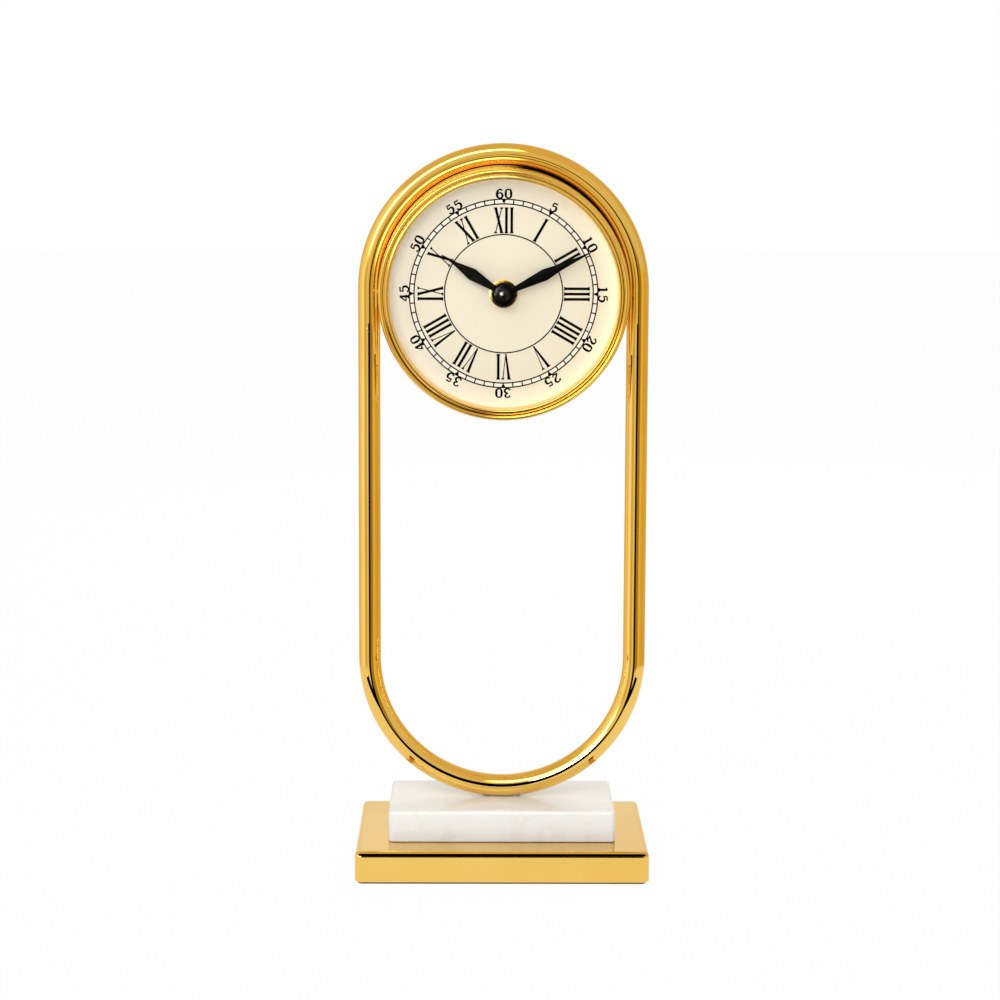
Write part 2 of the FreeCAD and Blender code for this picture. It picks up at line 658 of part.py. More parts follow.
def make_battery_door():
    body = new_body("battery_door", z="head_z")
    panel = new_sketch(body, "XZ_Plane", "-door_front")
    rectangle(panel, "door_width", "door_height", "0", "-battery_drop")
    pad(body, panel, "door_thickness", back=True)
    ribs = new_sketch(body, "XZ_Plane", "-door_rear")
    for rib in range(DOOR_RIB_COUNT):
        level = "-battery_drop + (%d - (%d - 1) / 2) * rib_pitch" % (rib, DOOR_RIB_COUNT)
        rectangle(ribs, "rib_width", "rib_height", "0", level)
    pad(body, ribs, "rib_rise", back=True)


def make_cover_screws():
    screws = []
    for x, z in cover_screw_places():
        z = "head_z + " + z
        shank = rod("cover_screw_shank", "pilot_radius", "cover_screw_length", x,
                    "drum_rear - cover_screw_length", z, "y")
        head = rod("cover_screw_head", "cover_head_radius", "cover_head_height", x, "drum_rear", z, "y")
        slots = []
        for width, height in (("cover_head_radius", "screw_slot_width"),
                              ("screw_slot_width", "cover_head_radius")):
            slots.append(block("cover_screw_slot", width, "screw_slot_depth + overrun", height,
                               "%s - %s / 2" % (x, width),
                               "drum_rear + cover_head_height - screw_slot_depth",
                               "%s - %s / 2" % (z, height)))
        crossed = minus("cover_screw_crossed_head", head, joined("cover_screw_cross", slots))
        screws.append(joined("cover_screw", [shank, crossed]))
    group("back_cover_screws", screws)


# Hands and what holds them. Shares are of the hand's length and of half its width.

MINUTE_OUTLINE_SHARES = [(0.0, 0.34), (0.47, 1.0), (0.63, 0.58), (1.0, 0.06)]
HOUR_OUTLINE_SHARES = [(0.0, 0.36), (0.51, 1.0), (0.78, 0.32), (1.0, 0.06)]


def make_hand(label, name, back, shares, bore, turn):
    """A flat lozenge hand, set at its angle from twelve about the given direction."""
    body = new_body(label)
    body.Placement = FreeCAD.Placement(Vector(), FreeCAD.Rotation(turn, number(name + "_angle")))
    body.setExpression(".Placement.Rotation.Angle", linked(name + "_angle"))
    put(body, z="head_z")
    blade = new_sketch(body, "XZ_Plane", "-(%s)" % back)
    right = [("%s * %s_width / 2" % (wide, name), "%s * %s_length" % (far, name)) for far, wide in shares]
    left = [("-" + x, y) for x, y in reversed(right)]
    outline(blade, right + left)
    pad(body, blade, "hand_thickness")
    hub = new_sketch(body, "XZ_Plane", "-(%s)" % back)
    circle(hub, name + "_hub")
    pad(body, hub, "hand_thickness")
    hole = new_sketch(body, "XZ_Plane", "-(%s)" % back)
    circle(hole, bore)
    pocket(body, hole, "2 * hand_thickness", both=True)


def make_hand_cap():
    """The round black knob over the hands' centre, in front of the minute hand."""
    body = new_body("hand_cap", z="head_z")
    profile = new_sketch(body, "XY_Plane")
    front = "minute_hand_front - cap_height"
    outline(profile, [("0", front), ("cap_radius", front), ("cap_radius", "minute_hand_front"),
                      ("0", "minute_hand_front")])
    revolve(body, profile)
    rounded(body, "cap_height - cap_rim", ring_edge("cap_radius", front))


def make_hub_fixings():
    seat = "dial_face - hub_washer_thickness"
    tube("dial_washer", "hub_washer_radius", "bushing_radius", "hub_washer_thickness",
         y=seat, z="head_z", along="y")
    nut = primitive("Prism", "hub_hexagon", {"Circumradius": "hub_nut_radius", "Height": "hub_nut_height"},
                    "0", seat + " - hub_nut_height", "head_z", "y")
    bore = rod("hub_nut_bore", "bushing_radius", "hub_nut_height", "0", seat + " - hub_nut_height",
               "head_z", "y")
    minus("bushing_nut", nut, bore)


# Quartz movement

def make_movement_case():
    front = new_body("movement_front_case", z="head_z")
    shell = new_sketch(front, "XZ_Plane", "-movement_front")
    rectangle(shell, "box_size", "box_size")
    pad(front, shell, "front_shell_depth", back=True)
    rounded(front, "box_corner", FRONT_TO_BACK)
    hollow = new_sketch(front, "XZ_Plane", "-inside")
    rectangle(hollow, "2 * inside_half", "2 * inside_half")
    pocket(front, hollow, "front_shell_depth")
    holes = new_sketch(front, "XZ_Plane", "-movement_front")
    circle(holes, "bushing_radius")
    pocket(front, holes, "box_wall + overrun")
    pivots = new_sketch(front, "XZ_Plane", "-inside")
    circle(pivots, "arbor_radius + running_play", "third_x", "third_z")
    circle(pivots, "knob_arbor_radius + running_play", "motion_x", "motion_z")
    pocket(front, pivots, "pivot_depth", back=True)

    rear = new_body("movement_back_case", z="head_z")
    shell = new_sketch(rear, "XZ_Plane", "-seam")
    rectangle(shell, "box_size", "box_size")
    pad(rear, shell, "box_depth - front_shell_depth", back=True)
    rounded(rear, "box_corner", FRONT_TO_BACK)
    upper_height = "(inside_half + bay_roof - bay_roof_thickness)"
    upper_middle = "(inside_half - bay_roof + bay_roof_thickness) / 2"
    train_room = new_sketch(rear, "XZ_Plane", "-seam")
    rectangle(train_room, "2 * inside_half", upper_height, "0", upper_middle)
    pocket(rear, train_room, "inside_rear - seam")
    bay = new_sketch(rear, "XZ_Plane", "-seam")
    rectangle(bay, "2 * inside_half", "bay_height", "0", "-battery_drop")
    pocket(rear, bay, "inside_rear - seam")
    mouth = new_sketch(rear, "XZ_Plane", "-seam")
    rectangle(mouth, "bay_width", "bay_height", "0", "-battery_drop")
    pocket(rear, mouth, "box_depth")
    knob_hole = new_sketch(rear, "XZ_Plane", "-seam")
    circle(knob_hole, "knob_arbor_radius + running_play", "motion_x", "motion_z")
    pocket(rear, knob_hole, "box_depth")
    pivots = new_sketch(rear, "XZ_Plane", "-inside_rear")
    circle(pivots, "second_arbor_radius + running_play")
    circle(pivots, "arbor_radius + running_play", "intermediate_x", "intermediate_z")
    circle(pivots, "rotor_arbor_radius + running_play", "rotor_x", "rotor_z")
    pocket(rear, pivots, "pivot_depth")


def make_movement_bushing():
    front_length = "movement_front + box_wall - bushing_front"
    barrel = rod("bushing_barrel", "bushing_radius", front_length, "0", "bushing_front", "head_z", "y")
    bore = rod("bushing_bore", "hour_pipe_radius + running_play", front_length, "0", "bushing_front",
               "head_z", "y")
    minus("movement_bushing", barrel, bore)


def make_train_plate():
    body = new_body("train_plate", z="head_z")
    plate = new_sketch(body, "XZ_Plane", "-layer_five")
    outline(plate, [("-plate_left", "-plate_low"), ("plate_right", "-plate_low"),
                    ("plate_right", "plate_high"), ("-plate_left", "plate_high")])
    pad(body, plate, "train_plate_thickness", back=True)
    holes = new_sketch(body, "XZ_Plane", "-layer_five")
    circle(holes, "second_arbor_radius + running_play")
    circle(holes, "arbor_radius + running_play", "third_x", "third_z")
    circle(holes, "arbor_radius + running_play", "intermediate_x", "intermediate_z")
    circle(holes, "rotor_arbor_radius + running_play", "rotor_x", "rotor_z")
    circle(holes, "knob_arbor_radius + running_play", "motion_x", "motion_z")
    pocket(body, holes, "train_plate_thickness + overrun")
    posts = new_sketch(body, "XZ_Plane", "-plate_rear")
    post_level = "(stator_low + stator_bar / 2)"
    for x in ("-(stator_left - stator_leg / 2)", "plate_right - stator_post_radius"):
        circle(posts, "stator_post_radius", x, post_level)
    pad(body, posts, "post_gap_fill", back=True)


def make_stator_and_coil():
    body = new_body("stator_plate", z="head_z")
    bar_top = "(stator_low + stator_bar)"
    iron = new_sketch(body, "XZ_Plane", "-stator_front")
    outline(iron, [("-stator_left", "stator_low"), ("stator_right", "stator_low"),
                   ("stator_right", "stator_high"), ("stator_right - stator_leg", "stator_high"),
                   ("stator_right - stator_leg", bar_top), ("stator_leg - stator_left", bar_top),
                   ("stator_leg - stator_left", "stator_high"), ("-stator_left", "stator_high")])
    pad(body, iron, "stator_thickness", back=True)
    hole = new_sketch(body, "XZ_Plane", "-stator_front")
    circle(hole, "magnet_radius + stator_gap", "rotor_x", "rotor_z")
    pocket(body, hole, "stator_thickness + overrun")
    core_low = "head_z + coil_level - core_height / 2"
    block("coil_core", "stator_left + stator_right", "stator_thickness", "core_height",
          "-stator_left", "core_front", core_low)
    start = "stator_leg - stator_left + bobbin_play"
    length = "(stator_left + stator_right - 2 * stator_leg - 2 * bobbin_play)"
    level = "head_z + coil_level"
    far_end = "stator_right - stator_leg - bobbin_play - bobbin_flange_thickness"
    spool = [rod("bobbin_barrel", "bobbin_radius", length, start, "coil_depth", level, "x")]
    for x in (start, far_end):
        spool.append(rod("bobbin_flange", "bobbin_flange", "bobbin_flange_thickness", x, "coil_depth",
                         level, "x"))
    slot = block("bobbin_slot", length, "stator_thickness", "core_height", start, "core_front", core_low)
    minus("coil_bobbin", joined("bobbin_spool", spool), slot)
    tube("coil_winding", "winding_radius", "bobbin_radius", length + " - 2 * bobbin_flange_thickness",
         start + " + bobbin_flange_thickness", "coil_depth", level, "x")


def make_electronics():
    board_width, board_height = "(board_left - board_right)", "(board_high - board_low)"
    board_rear = "plate_rear + board_thickness"
    block("circuit_board", board_width, "board_thickness", board_height, "-board_left", "plate_rear",
          "head_z + board_low")
    middle = "-(board_left + board_right) / 2"
    rod("quartz_crystal", "crystal_radius", "crystal_length", middle + " - crystal_length / 2",
        board_rear + " + crystal_radius", "head_z + board_high - 2 * crystal_radius", "x")
    rod("timing_chip", "chip_radius", "chip_height", middle, board_rear,
        "head_z + board_low + 2 * chip_radius", "y")


def make_battery():
    level = "head_z - battery_drop"
    start = "-(battery_length + battery_nub) / 2"
    can = rod("battery_can", "battery_radius", "battery_length", start, "battery_depth", level, "x")
    nub = rod("battery_nub_end", "battery_nub_radius", "battery_nub", start + " + battery_length",
              "battery_depth", level, "x")
    joined("battery", [can, nub])
    half = "(battery_length + battery_nub) / 2"
    plate_y, plate_z = "battery_depth - contact_depth / 2", level + " - contact_height / 2"
    block("positive_contact", "inside_half - %s - contact_play" % half, "contact_depth",
          "contact_height", half, plate_y, plate_z)
    leaf = block("negative_leaf", "contact_thickness", "contact_depth", "contact_height",
                 "-inside_half + contact_play", plate_y, plate_z)
    coil = rod("negative_spring", "contact_coil_radius",
               "inside_half - %s - contact_play - contact_thickness" % half,
               "-inside_half + contact_play + contact_thickness", "battery_depth", level, "x")
    joined("negative_contact", [leaf, coil])


# Gears. A toothed disc is drawn in the XZ plane as seen from the front, with short
# involute flanks on a wide pressure angle, and stands on the Y axis of its own arbor.

PRESSURE_ANGLE = math.radians(30)
ADDENDUM_SHARE = 0.8
DEDENDUM_SHARE = 1.1
THINNING_SHARE = 0.05
PINION_TEETH_LIMIT = 20


def involute(angle):
    return math.tan(angle) - angle


def toothed_disc(teeth, module, phase, thickness, depth):
    """A spur gear whose first tooth stands at the phase angle."""
    pitch = teeth * module / 2
    base = pitch * math.cos(PRESSURE_ANGLE)
    root, tip = pitch - DEDENDUM_SHARE * module, pitch + ADDENDUM_SHARE * module
    flank_start = max(root, base)
    steps = 3 if teeth < PINION_TEETH_LIMIT else 1
    flank = []
    for step in range(steps + 1):
        radius = flank_start + (tip - flank_start) * step / steps
        spread = (0.5 - THINNING_SHARE) * math.pi / teeth + involute(PRESSURE_ANGLE)
        flank.append((radius, spread - involute(math.acos(min(base / radius, 1)))))
    if root < flank_start:
        flank.insert(0, (root, flank[0][1]))
    corners = []
    for tooth in range(teeth):
        middle = phase + 2 * math.pi * tooth / teeth
        side = [(radius, middle - spread) for radius, spread in flank]
        side += [(radius, middle + spread) for radius, spread in reversed(flank)]
        corners += [Vector(r * math.cos(a), depth, r * math.sin(a)) for r, a in side]
    face = Part.Face(Part.makePolygon(corners + corners[:1]))
    return face.extrude(Vector(0, thickness, 0))


def disc(radius, start, end):
    return Part.makeCylinder(radius, end - start, Vector(0, start, 0), Vector(0, 1, 0))


def in_mesh(direction, name, other_name):
    """The other gear's phase when its centre lies in this direction from the first one at rest."""
    share = direction * teeth_of(name) / (2 * math.pi)
    return direction + math.pi - (0.5 - share) * 2 * math.pi / teeth_of(other_name)


def wheel_piece(label, solids, bore, x, z):
    """One moulded wheel: its solids joined, bored and set on its own arbor line."""
    shape = solids[0].multiFuse(solids[1:]) if len(solids) > 1 else solids[0]
    if bore:
        shape = shape.cut(bore)
    item = doc.addObject("Part::Feature", label)
    item.Shape = shape.removeSplitter()
    return put(item, x, "0", "head_z" + ("" if z == "0" else " + " + z))


def teeth_of(name):
    return TOOTH_COUNTS[name + "_teeth"]


def module_for(distance, name, other_name):
    return 2 * number(distance) / (teeth_of(name) + teeth_of(other_name))


def make_gears():
    aim = {name: math.radians(number(name + "_direction"))
           for name in ("motion", "third", "intermediate", "rotor")}
    front_pivot, rear_pivot = number("inside - pivot_reach"), number("inside_rear + pivot_reach")
    plate_rear = number("plate_rear")
    cannon, cannon_bore = number("cannon_radius"), number("second_arbor_radius + running_play")
    clutch_bore = number("cannon_radius + running_play")
    arbor = number("arbor_radius")

    def wheel(name, module, phase, layer):
        return toothed_disc(teeth_of(name), module, phase, number("wheel_thickness"), number(layer))

    def pinion(name, module, phase, layer):
        return toothed_disc(teeth_of(name), module, phase, number("pinion_length"),
                            number(layer + " - pinion_overlap"))

    # Motion work: cannon pinion, wheel on the setting arbor, hour wheel
    first = module_for("motion_distance", "cannon", "motion")
    second = module_for("motion_distance", "motion_pinion", "hour")
    motion_phase = in_mesh(aim["motion"], "cannon", "motion")
    hour_phase = in_mesh(aim["motion"] + math.pi, "motion_pinion", "hour")
    cannon_front = number("minute_hand_front")
    cannon_end = number("layer_three + wheel_thickness + pinion_overlap")
    wheel_piece("minute_cannon",
                [pinion("cannon", first, 0, "layer_two"), disc(cannon, cannon_front, cannon_end)],
                disc(cannon_bore, cannon_front, cannon_end), "0", "0")
    pipe_front, pipe_end = number("hour_hand_back - hand_thickness"), number("layer_one + wheel_thickness")
    wheel_piece("hour_wheel",
                [wheel("hour", second, hour_phase, "layer_one"),
                 disc(number("hour_pipe_radius"), pipe_front, pipe_end)],
                disc(clutch_bore, pipe_front, pipe_end), "0", "0")
    wheel_piece("motion_wheel",
                [wheel("motion", first, motion_phase, "layer_two"),
                 pinion("motion_pinion", second, 0, "layer_one"),
                 disc(number("knob_arbor_radius"), front_pivot, number("movement_rear + knob_gap"))],
                None, "motion_x", "motion_z")

    # Going train: centre, third and second wheels, then the intermediate wheel and rotor
    third = module_for("third_distance", "third_pinion", "centre")
    fourth = module_for("third_distance", "second_pinion", "third")
    fifth = module_for("intermediate_distance", "intermediate_pinion", "second")
    sixth = module_for("rotor_distance", "rotor_pinion", "intermediate")
    third_pinion_phase = in_mesh(aim["third"], "centre", "third_pinion")
    second_phase = in_mesh(aim["third"] + math.pi, "third", "second_pinion")
    second_pinion = pinion("second_pinion", fourth, second_phase, "layer_four")
    centre_bore = disc(clutch_bore, number("layer_three"), number("layer_three + wheel_thickness"))
    wheel_piece("centre_wheel", [wheel("centre", third, 0, "layer_three")], centre_bore, "0", "0")
    wheel_piece("third_wheel",
                [wheel("third", fourth, 0, "layer_four"),
                 pinion("third_pinion", third, third_pinion_phase, "layer_three"),
                 disc(arbor, front_pivot, plate_rear)],
                None, "third_x", "third_z")
    wheel_piece("second_wheel",
                [wheel("second", fifth, 0, "layer_six"), second_pinion,
                 disc(number("second_arbor_radius"), number("layer_one"), rear_pivot)],
                None, "0", "0")
    pinion_phase = in_mesh(aim["intermediate"], "second", "intermediate_pinion")
    wheel_piece("intermediate_wheel",
                [wheel("intermediate", sixth, 0, "layer_seven"),
                 pinion("intermediate_pinion", fifth, pinion_phase, "layer_six"),
                 disc(arbor, number("layer_five"), rear_pivot)],
                None, "intermediate_x", "intermediate_z")
    rotor_phase = in_mesh(aim["rotor"], "intermediate", "rotor_pinion")
    wheel_piece("rotor_arbor",
                [pinion("rotor_pinion", sixth, rotor_phase, "layer_seven"),
                 disc(number("rotor_arbor_radius"), number("layer_five"), rear_pivot)],
                None, "rotor_x", "rotor_z")
    tube("rotor_magnet", "magnet_radius", "rotor_arbor_radius", "magnet_thickness",
         "rotor_x", "layer_six - pinion_overlap", "head_z + rotor_z", "y")


def make_set_knob():
    body = new_body("set_knob", x="motion_x", z="head_z + motion_z")
    round_face = new_sketch(body, "XZ_Plane", "-(movement_rear + knob_gap)")
    circle(round_face, "knob_radius")
    pad(body, round_face, "knob_length", back=True)
    rounded(body, "knob_edge", ring_edge("knob_radius", "movement_rear + knob_gap + knob_length"))
    flutes = new_sketch(body, "XZ_Plane", "-(movement_rear + knob_gap)")
    for flute in range(KNOB_FLUTE_COUNT):
        x, y = turned("(knob_radius + knob_flute / 2)", "%d * 360 / %d" % (flute, KNOB_FLUTE_COUNT))
        circle(flutes, "knob_flute", x, y)
    pocket(body, flutes, "knob_length")


make_base_felt()
make_base_plate()
make_marble_block()
make_dowels()
make_hoop()
make_hoop_insert()
make_stud_set()
make_drum_case()
make_bezel_ring()
make_glass()
make_reflector_ring()
make_dial_plate()
make_case_fixings()
make_back_cover()
make_battery_door()
make_cover_screws()
make_hub_fixings()
make_hand("hour_hand", "hour", "hour_hand_back", HOUR_OUTLINE_SHARES, "hour_pipe_radius",
          Vector(0, -1, 0))
make_hand("minute_hand", "minute", "minute_hand_back", MINUTE_OUTLINE_SHARES, "cannon_radius",
          Vector(0, 1, 0))
make_hand_cap()
make_movement_case()
make_movement_bushing()
make_train_plate()
make_stator_and_coil()
make_electronics()
make_battery()
make_gears()
make_set_knob()
doc.recompute()

NODES = """base_felt base_plate marble_block marble_dowels hoop_tube hoop_insert hoop_studs
stud_washers stud_nuts drum_case bezel_ring glass_lens lens_gasket reflector_ring dial_plate
case_spacers case_screws back_cover battery_door back_cover_screws dial_washer bushing_nut
hour_hand minute_hand hand_cap movement_front_case movement_back_case movement_bushing
train_plate stator_plate coil_core coil_bobbin coil_winding circuit_board quartz_crystal
timing_chip battery positive_contact negative_contact minute_cannon hour_wheel motion_wheel
centre_wheel third_wheel second_wheel intermediate_wheel rotor_arbor rotor_magnet
set_knob""".split()

for item in doc.Objects:
    if "Invalid" in item.State or "Error" in item.State:
        raise RuntimeError(item.Name + " failed to build")
for node in NODES:
    piece = doc.getObject(node)
    shape = piece.Shape
    if shape.isNull() or not shape.isValid() or not shape.Solids:
        raise RuntimeError(node + " has no valid solid")
    shape.exportStep("parts/%s.step" % node)
    box = shape.BoundBox
    print("%-22s solids %d volume %10.2f  x %.2f..%.2f y %.2f..%.2f z %.2f..%.2f" % (
        node, len(shape.Solids), shape.Volume, box.XMin, box.XMax, box.YMin, box.YMax,
        box.ZMin, box.ZMax))
print(len(NODES), "nodes")
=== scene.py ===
import json
import math

import bmesh
import bpy
from mathutils import Matrix, Vector


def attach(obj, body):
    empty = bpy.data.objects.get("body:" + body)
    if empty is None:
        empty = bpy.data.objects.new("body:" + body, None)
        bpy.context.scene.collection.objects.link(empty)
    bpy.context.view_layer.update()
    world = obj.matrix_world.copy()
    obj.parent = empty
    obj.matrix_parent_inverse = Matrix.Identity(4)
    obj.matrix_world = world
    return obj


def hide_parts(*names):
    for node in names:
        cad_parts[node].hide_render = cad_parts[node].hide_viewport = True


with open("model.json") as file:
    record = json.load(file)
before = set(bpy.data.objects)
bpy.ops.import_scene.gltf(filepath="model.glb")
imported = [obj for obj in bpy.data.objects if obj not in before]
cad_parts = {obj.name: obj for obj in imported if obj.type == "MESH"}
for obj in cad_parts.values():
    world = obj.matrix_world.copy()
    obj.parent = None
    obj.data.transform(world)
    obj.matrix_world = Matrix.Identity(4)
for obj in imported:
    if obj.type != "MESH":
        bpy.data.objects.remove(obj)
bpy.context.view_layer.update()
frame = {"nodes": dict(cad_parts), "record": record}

mm = 0.001
scene = bpy.context.scene
record = frame["record"]
headZ = 302.25 * mm                                        # height of the clock head's axis
weld = 0.002 * mm                                          # points nearer than this become one
near = 0.001 * mm                                          # two measures this close count as the same
backward = (0.0, 1.0, 0.0)                                 # the direction of the head's axis
white, black = (1.0, 1.0, 1.0), (0.0, 0.0, 0.0)
print("frame loaded:", len(frame["nodes"]), "nodes")


class Signal:                                              # one socket that takes part in sums
    def __init__(self, sheet, socket):
        self.sheet, self.socket = sheet, socket

    def math(self, how, *others):
        values = dict(enumerate((self,) + others))
        return self.sheet.node("Math", {"operation": how}, values)["Value"]

    def turned(self, how, other):                          # the same with the number first
        return self.sheet.node("Math", {"operation": how}, {0: other, 1: self})["Value"]

    def __add__(self, other): return self.math("ADD", other)
    def __sub__(self, other): return self.math("SUBTRACT", other)
    def __mul__(self, other): return self.math("MULTIPLY", other)
    def __truediv__(self, other): return self.math("DIVIDE", other)
    __radd__, __rmul__ = __add__, __mul__
    def __rsub__(self, other): return self.turned("SUBTRACT", other)
    def __rtruediv__(self, other): return self.turned("DIVIDE", other)


class Sheet:                                               # the nodes of one material or of the world
    def __init__(self, owner):
        self.owner = owner
        owner.use_nodes = True
        self.tree = owner.node_tree
        self.tree.nodes.clear()

    def node(self, kind, settings=None, values=None):
        made = self.tree.nodes.new("ShaderNode" + kind)
        for name, value in (settings or {}).items():
            if name == "stops":                            # a colour ramp's places and colours
                while len(made.color_ramp.elements) < len(value):
                    made.color_ramp.elements.new(0.5)
                for stop, (place, colour) in zip(made.color_ramp.elements, value):
                    stop.position, stop.color = place, (*colour, 1.0)
            else:
                setattr(made, name, value)
        ways = [s for s in made.inputs if s.enabled]
        for key, value in (values or {}).items():
            way = ways[key] if isinstance(key, int) else next(s for s in ways if s.name == key)
            if isinstance(value, Signal):
                self.tree.links.new(value.socket, way)
            elif isinstance(value, tuple) and way.type == "RGBA":
                way.default_value = (*value, 1.0)
            else:
                way.default_value = value
        return {s.name: Signal(self, s) for s in made.outputs if s.enabled}

    def place(self, **mapping):                            # object coordinates, moved or stretched
        spot = self.node("TexCoord")["Object"]
        values = {"Vector": spot, **{k.capitalize(): v for k, v in mapping.items()}}
        return self.node("Mapping", {}, values)["Vector"] if mapping else spot

    def apart(self, vector):
        return self.node("SeparateXYZ", {}, {0: vector}).values()

    def aroundHead(self):                                  # measured from the middle of the clock head
        x, y, z = self.apart(self.place(location=(0.0, 0.0, -headZ)))
        return {"depth": y, "height": z, "radius": (x * x + z * z).math("SQRT")}

    def noise(self, size, detail=2.0, spot=None, roughness=0.5, distortion=0.0):
        values = {"Vector": spot or self.place(), "Scale": 1.0 / size, "Detail": detail,
                  "Roughness": roughness, "Distortion": distortion}
        return self.node("TexNoise", {}, values)["Fac"]

    def between(self, signal, low, high):                  # 0 at low, 1 at high
        values = {"Value": signal, "From Min": low, "From Max": high}
        return self.node("MapRange", {"interpolation_type": "SMOOTHSTEP"}, values)["Result"]

    def inside(self, signal, rise, fall):                  # 1 after the rise and before the fall
        return self.between(signal, *rise) * (1.0 - self.between(signal, *fall))

    def patches(self, size, detail, low, high):
        return self.between(self.noise(size, detail), low, high)

    def mixed(self, share, first, second):
        values = {"Factor": share, "A": first, "B": second}
        return self.node("Mix", {"data_type": "RGBA"}, values)["Result"]

    def bump(self, height, depth):
        return self.node("Bump", {}, {"Height": height, "Distance": depth, "Strength": 1.0})["Normal"]

    def emission(self, colour, strength):
        return self.node("Emission", {}, {"Color": colour, "Strength": strength})["Emission"]

    def blended(self, share, first, second):               # mixed, for two shaders
        return self.node("MixShader", {}, {0: share, 1: first, 2: second})["Shader"]

    def output(self, shader):
        self.node("OutputMaterial", {}, {"Surface": shader})
        return self.owner

    def surface(self, **values):
        shader = self.node("BsdfPrincipled", {}, {labels[k]: v for k, v in values.items()})["BSDF"]
        return self.output(shader)


labels = {"colour": "Base Color", "metallic": "Metallic", "roughness": "Roughness", "alpha": "Alpha",
          "normal": "Normal", "coat": "Coat Weight", "coatRoughness": "Coat Roughness",
          "sheen": "Sheen Weight", "sheenRoughness": "Sheen Roughness", "specular": "Specular IOR Level",
          "subsurface": "Subsurface Weight"}


def newSheet(name):
    return Sheet(bpy.data.materials.new(name))


# In the finishes a noise is (size, detail), patches are (size, detail, low, high), and other pairs are
# the places where something begins to change and has changed.
def makePolishedGold():
    gold = {"colour": (0.880, 0.572, 0.135), "deep": (0.850, 0.530, 0.110), "side": (0.960, 0.850, 0.600),
            "cloud": (0.045, 3.0, 0.35, 0.70), "hair": (0.0012, 2.0), "hairScale": (1.0, 1.0, 0.06),
            "smooth": 0.012, "cloudRough": 0.016, "hairRough": 0.004, "dent": (0.006, 2.0),
            "dentDepth": 0.000004, "coat": 0.15, "coatRoughness": 0.04}
    # where the painted paler reflection goes: the bezel's outer rim and the drum's side, above the hoop's
    # legs
    head = {"rim": (64.6 * mm, 64.9 * mm), "rimBack": (-7.7 * mm, -7.3 * mm),
            "drum": (61.2 * mm, 61.6 * mm), "drumEdge": (63.9 * mm, 64.1 * mm),
            "drumFront": (-8.2 * mm, -8.0 * mm), "drumBack": (1.0 * mm, 6.0 * mm),
            "below": (-80.0 * mm, -70.0 * mm)}
    s = newSheet("polishedGold")
    cloud = s.patches(*gold["cloud"])
    hair = s.noise(*gold["hair"], s.place(scale=gold["hairScale"]))
    spot = s.aroundHead()
    rim = s.between(spot["radius"], *head["rim"]) * (1.0 - s.between(spot["depth"], *head["rimBack"]))
    drum = s.inside(spot["radius"], head["drum"], head["drumEdge"])
    drum = drum * s.inside(spot["depth"], head["drumFront"], head["drumBack"])
    side = rim.math("MAXIMUM", drum) * s.between(spot["height"], *head["below"])   # painted paler reflection on the head's sides
    plating = s.mixed(cloud, gold["colour"], gold["deep"])
    return s.surface(colour=s.mixed(side, plating, gold["side"]), metallic=1.0,
                     roughness=gold["smooth"] + cloud * gold["cloudRough"] + hair * gold["hairRough"],
                     normal=s.bump(s.noise(*gold["dent"]), gold["dentDepth"]),
                     coat=gold["coat"], coatRoughness=gold["coatRoughness"])


def makeMarble():
    marble = {"white": (0.905, 0.893, 0.868), "warm": (0.800, 0.735, 0.640), "grey": (0.840, 0.830, 0.815),
              "patch": (0.070, 3.0, 0.40, 0.75), "patchShare": 0.55, "veined": (0.030, 2.0, 0.45, 0.68),
              "veinShare": 0.38, "hairlineShare": 0.06, "grain": (0.0009, 3.0), "grainDepth": 0.000006,
              "smooth": 0.10, "grainRough": 0.08, "specular": 0.6, "subsurface": 0.04}
    vein = {"size": 0.050, "detail": 5.0, "turn": (0.4, 0.5, 0.6), "roughness": 0.6, "distortion": 1.2,
            "width": 0.045}
    hairline = {"size": 0.022, "detail": 6.0, "turn": (0.2, 0.9, 0.3), "roughness": 0.65, "distortion": 2.0,
                "width": 0.009}
    s = newSheet("whiteMarble")

    def lines(form):                                       # 1 where a noise crosses its middle
        fold = s.noise(form["size"], form["detail"], s.place(rotation=form["turn"]), form["roughness"],
                       form["distortion"])
        return 1.0 - s.between((fold - 0.5).math("ABSOLUTE"), 0.0, form["width"])

    share = lines(vein) * marble["veinShare"] + lines(hairline) * marble["hairlineShare"]
    base = s.mixed(s.patches(*marble["patch"]) * marble["patchShare"], marble["white"], marble["grey"])
    grain = s.noise(*marble["grain"])
    return s.surface(colour=s.mixed(share * s.patches(*marble["veined"]), base, marble["warm"]),
                     roughness=marble["smooth"] + grain * marble["grainRough"],
                     normal=s.bump(grain, marble["grainDepth"]),
                     specular=marble["specular"], subsurface=marble["subsurface"])


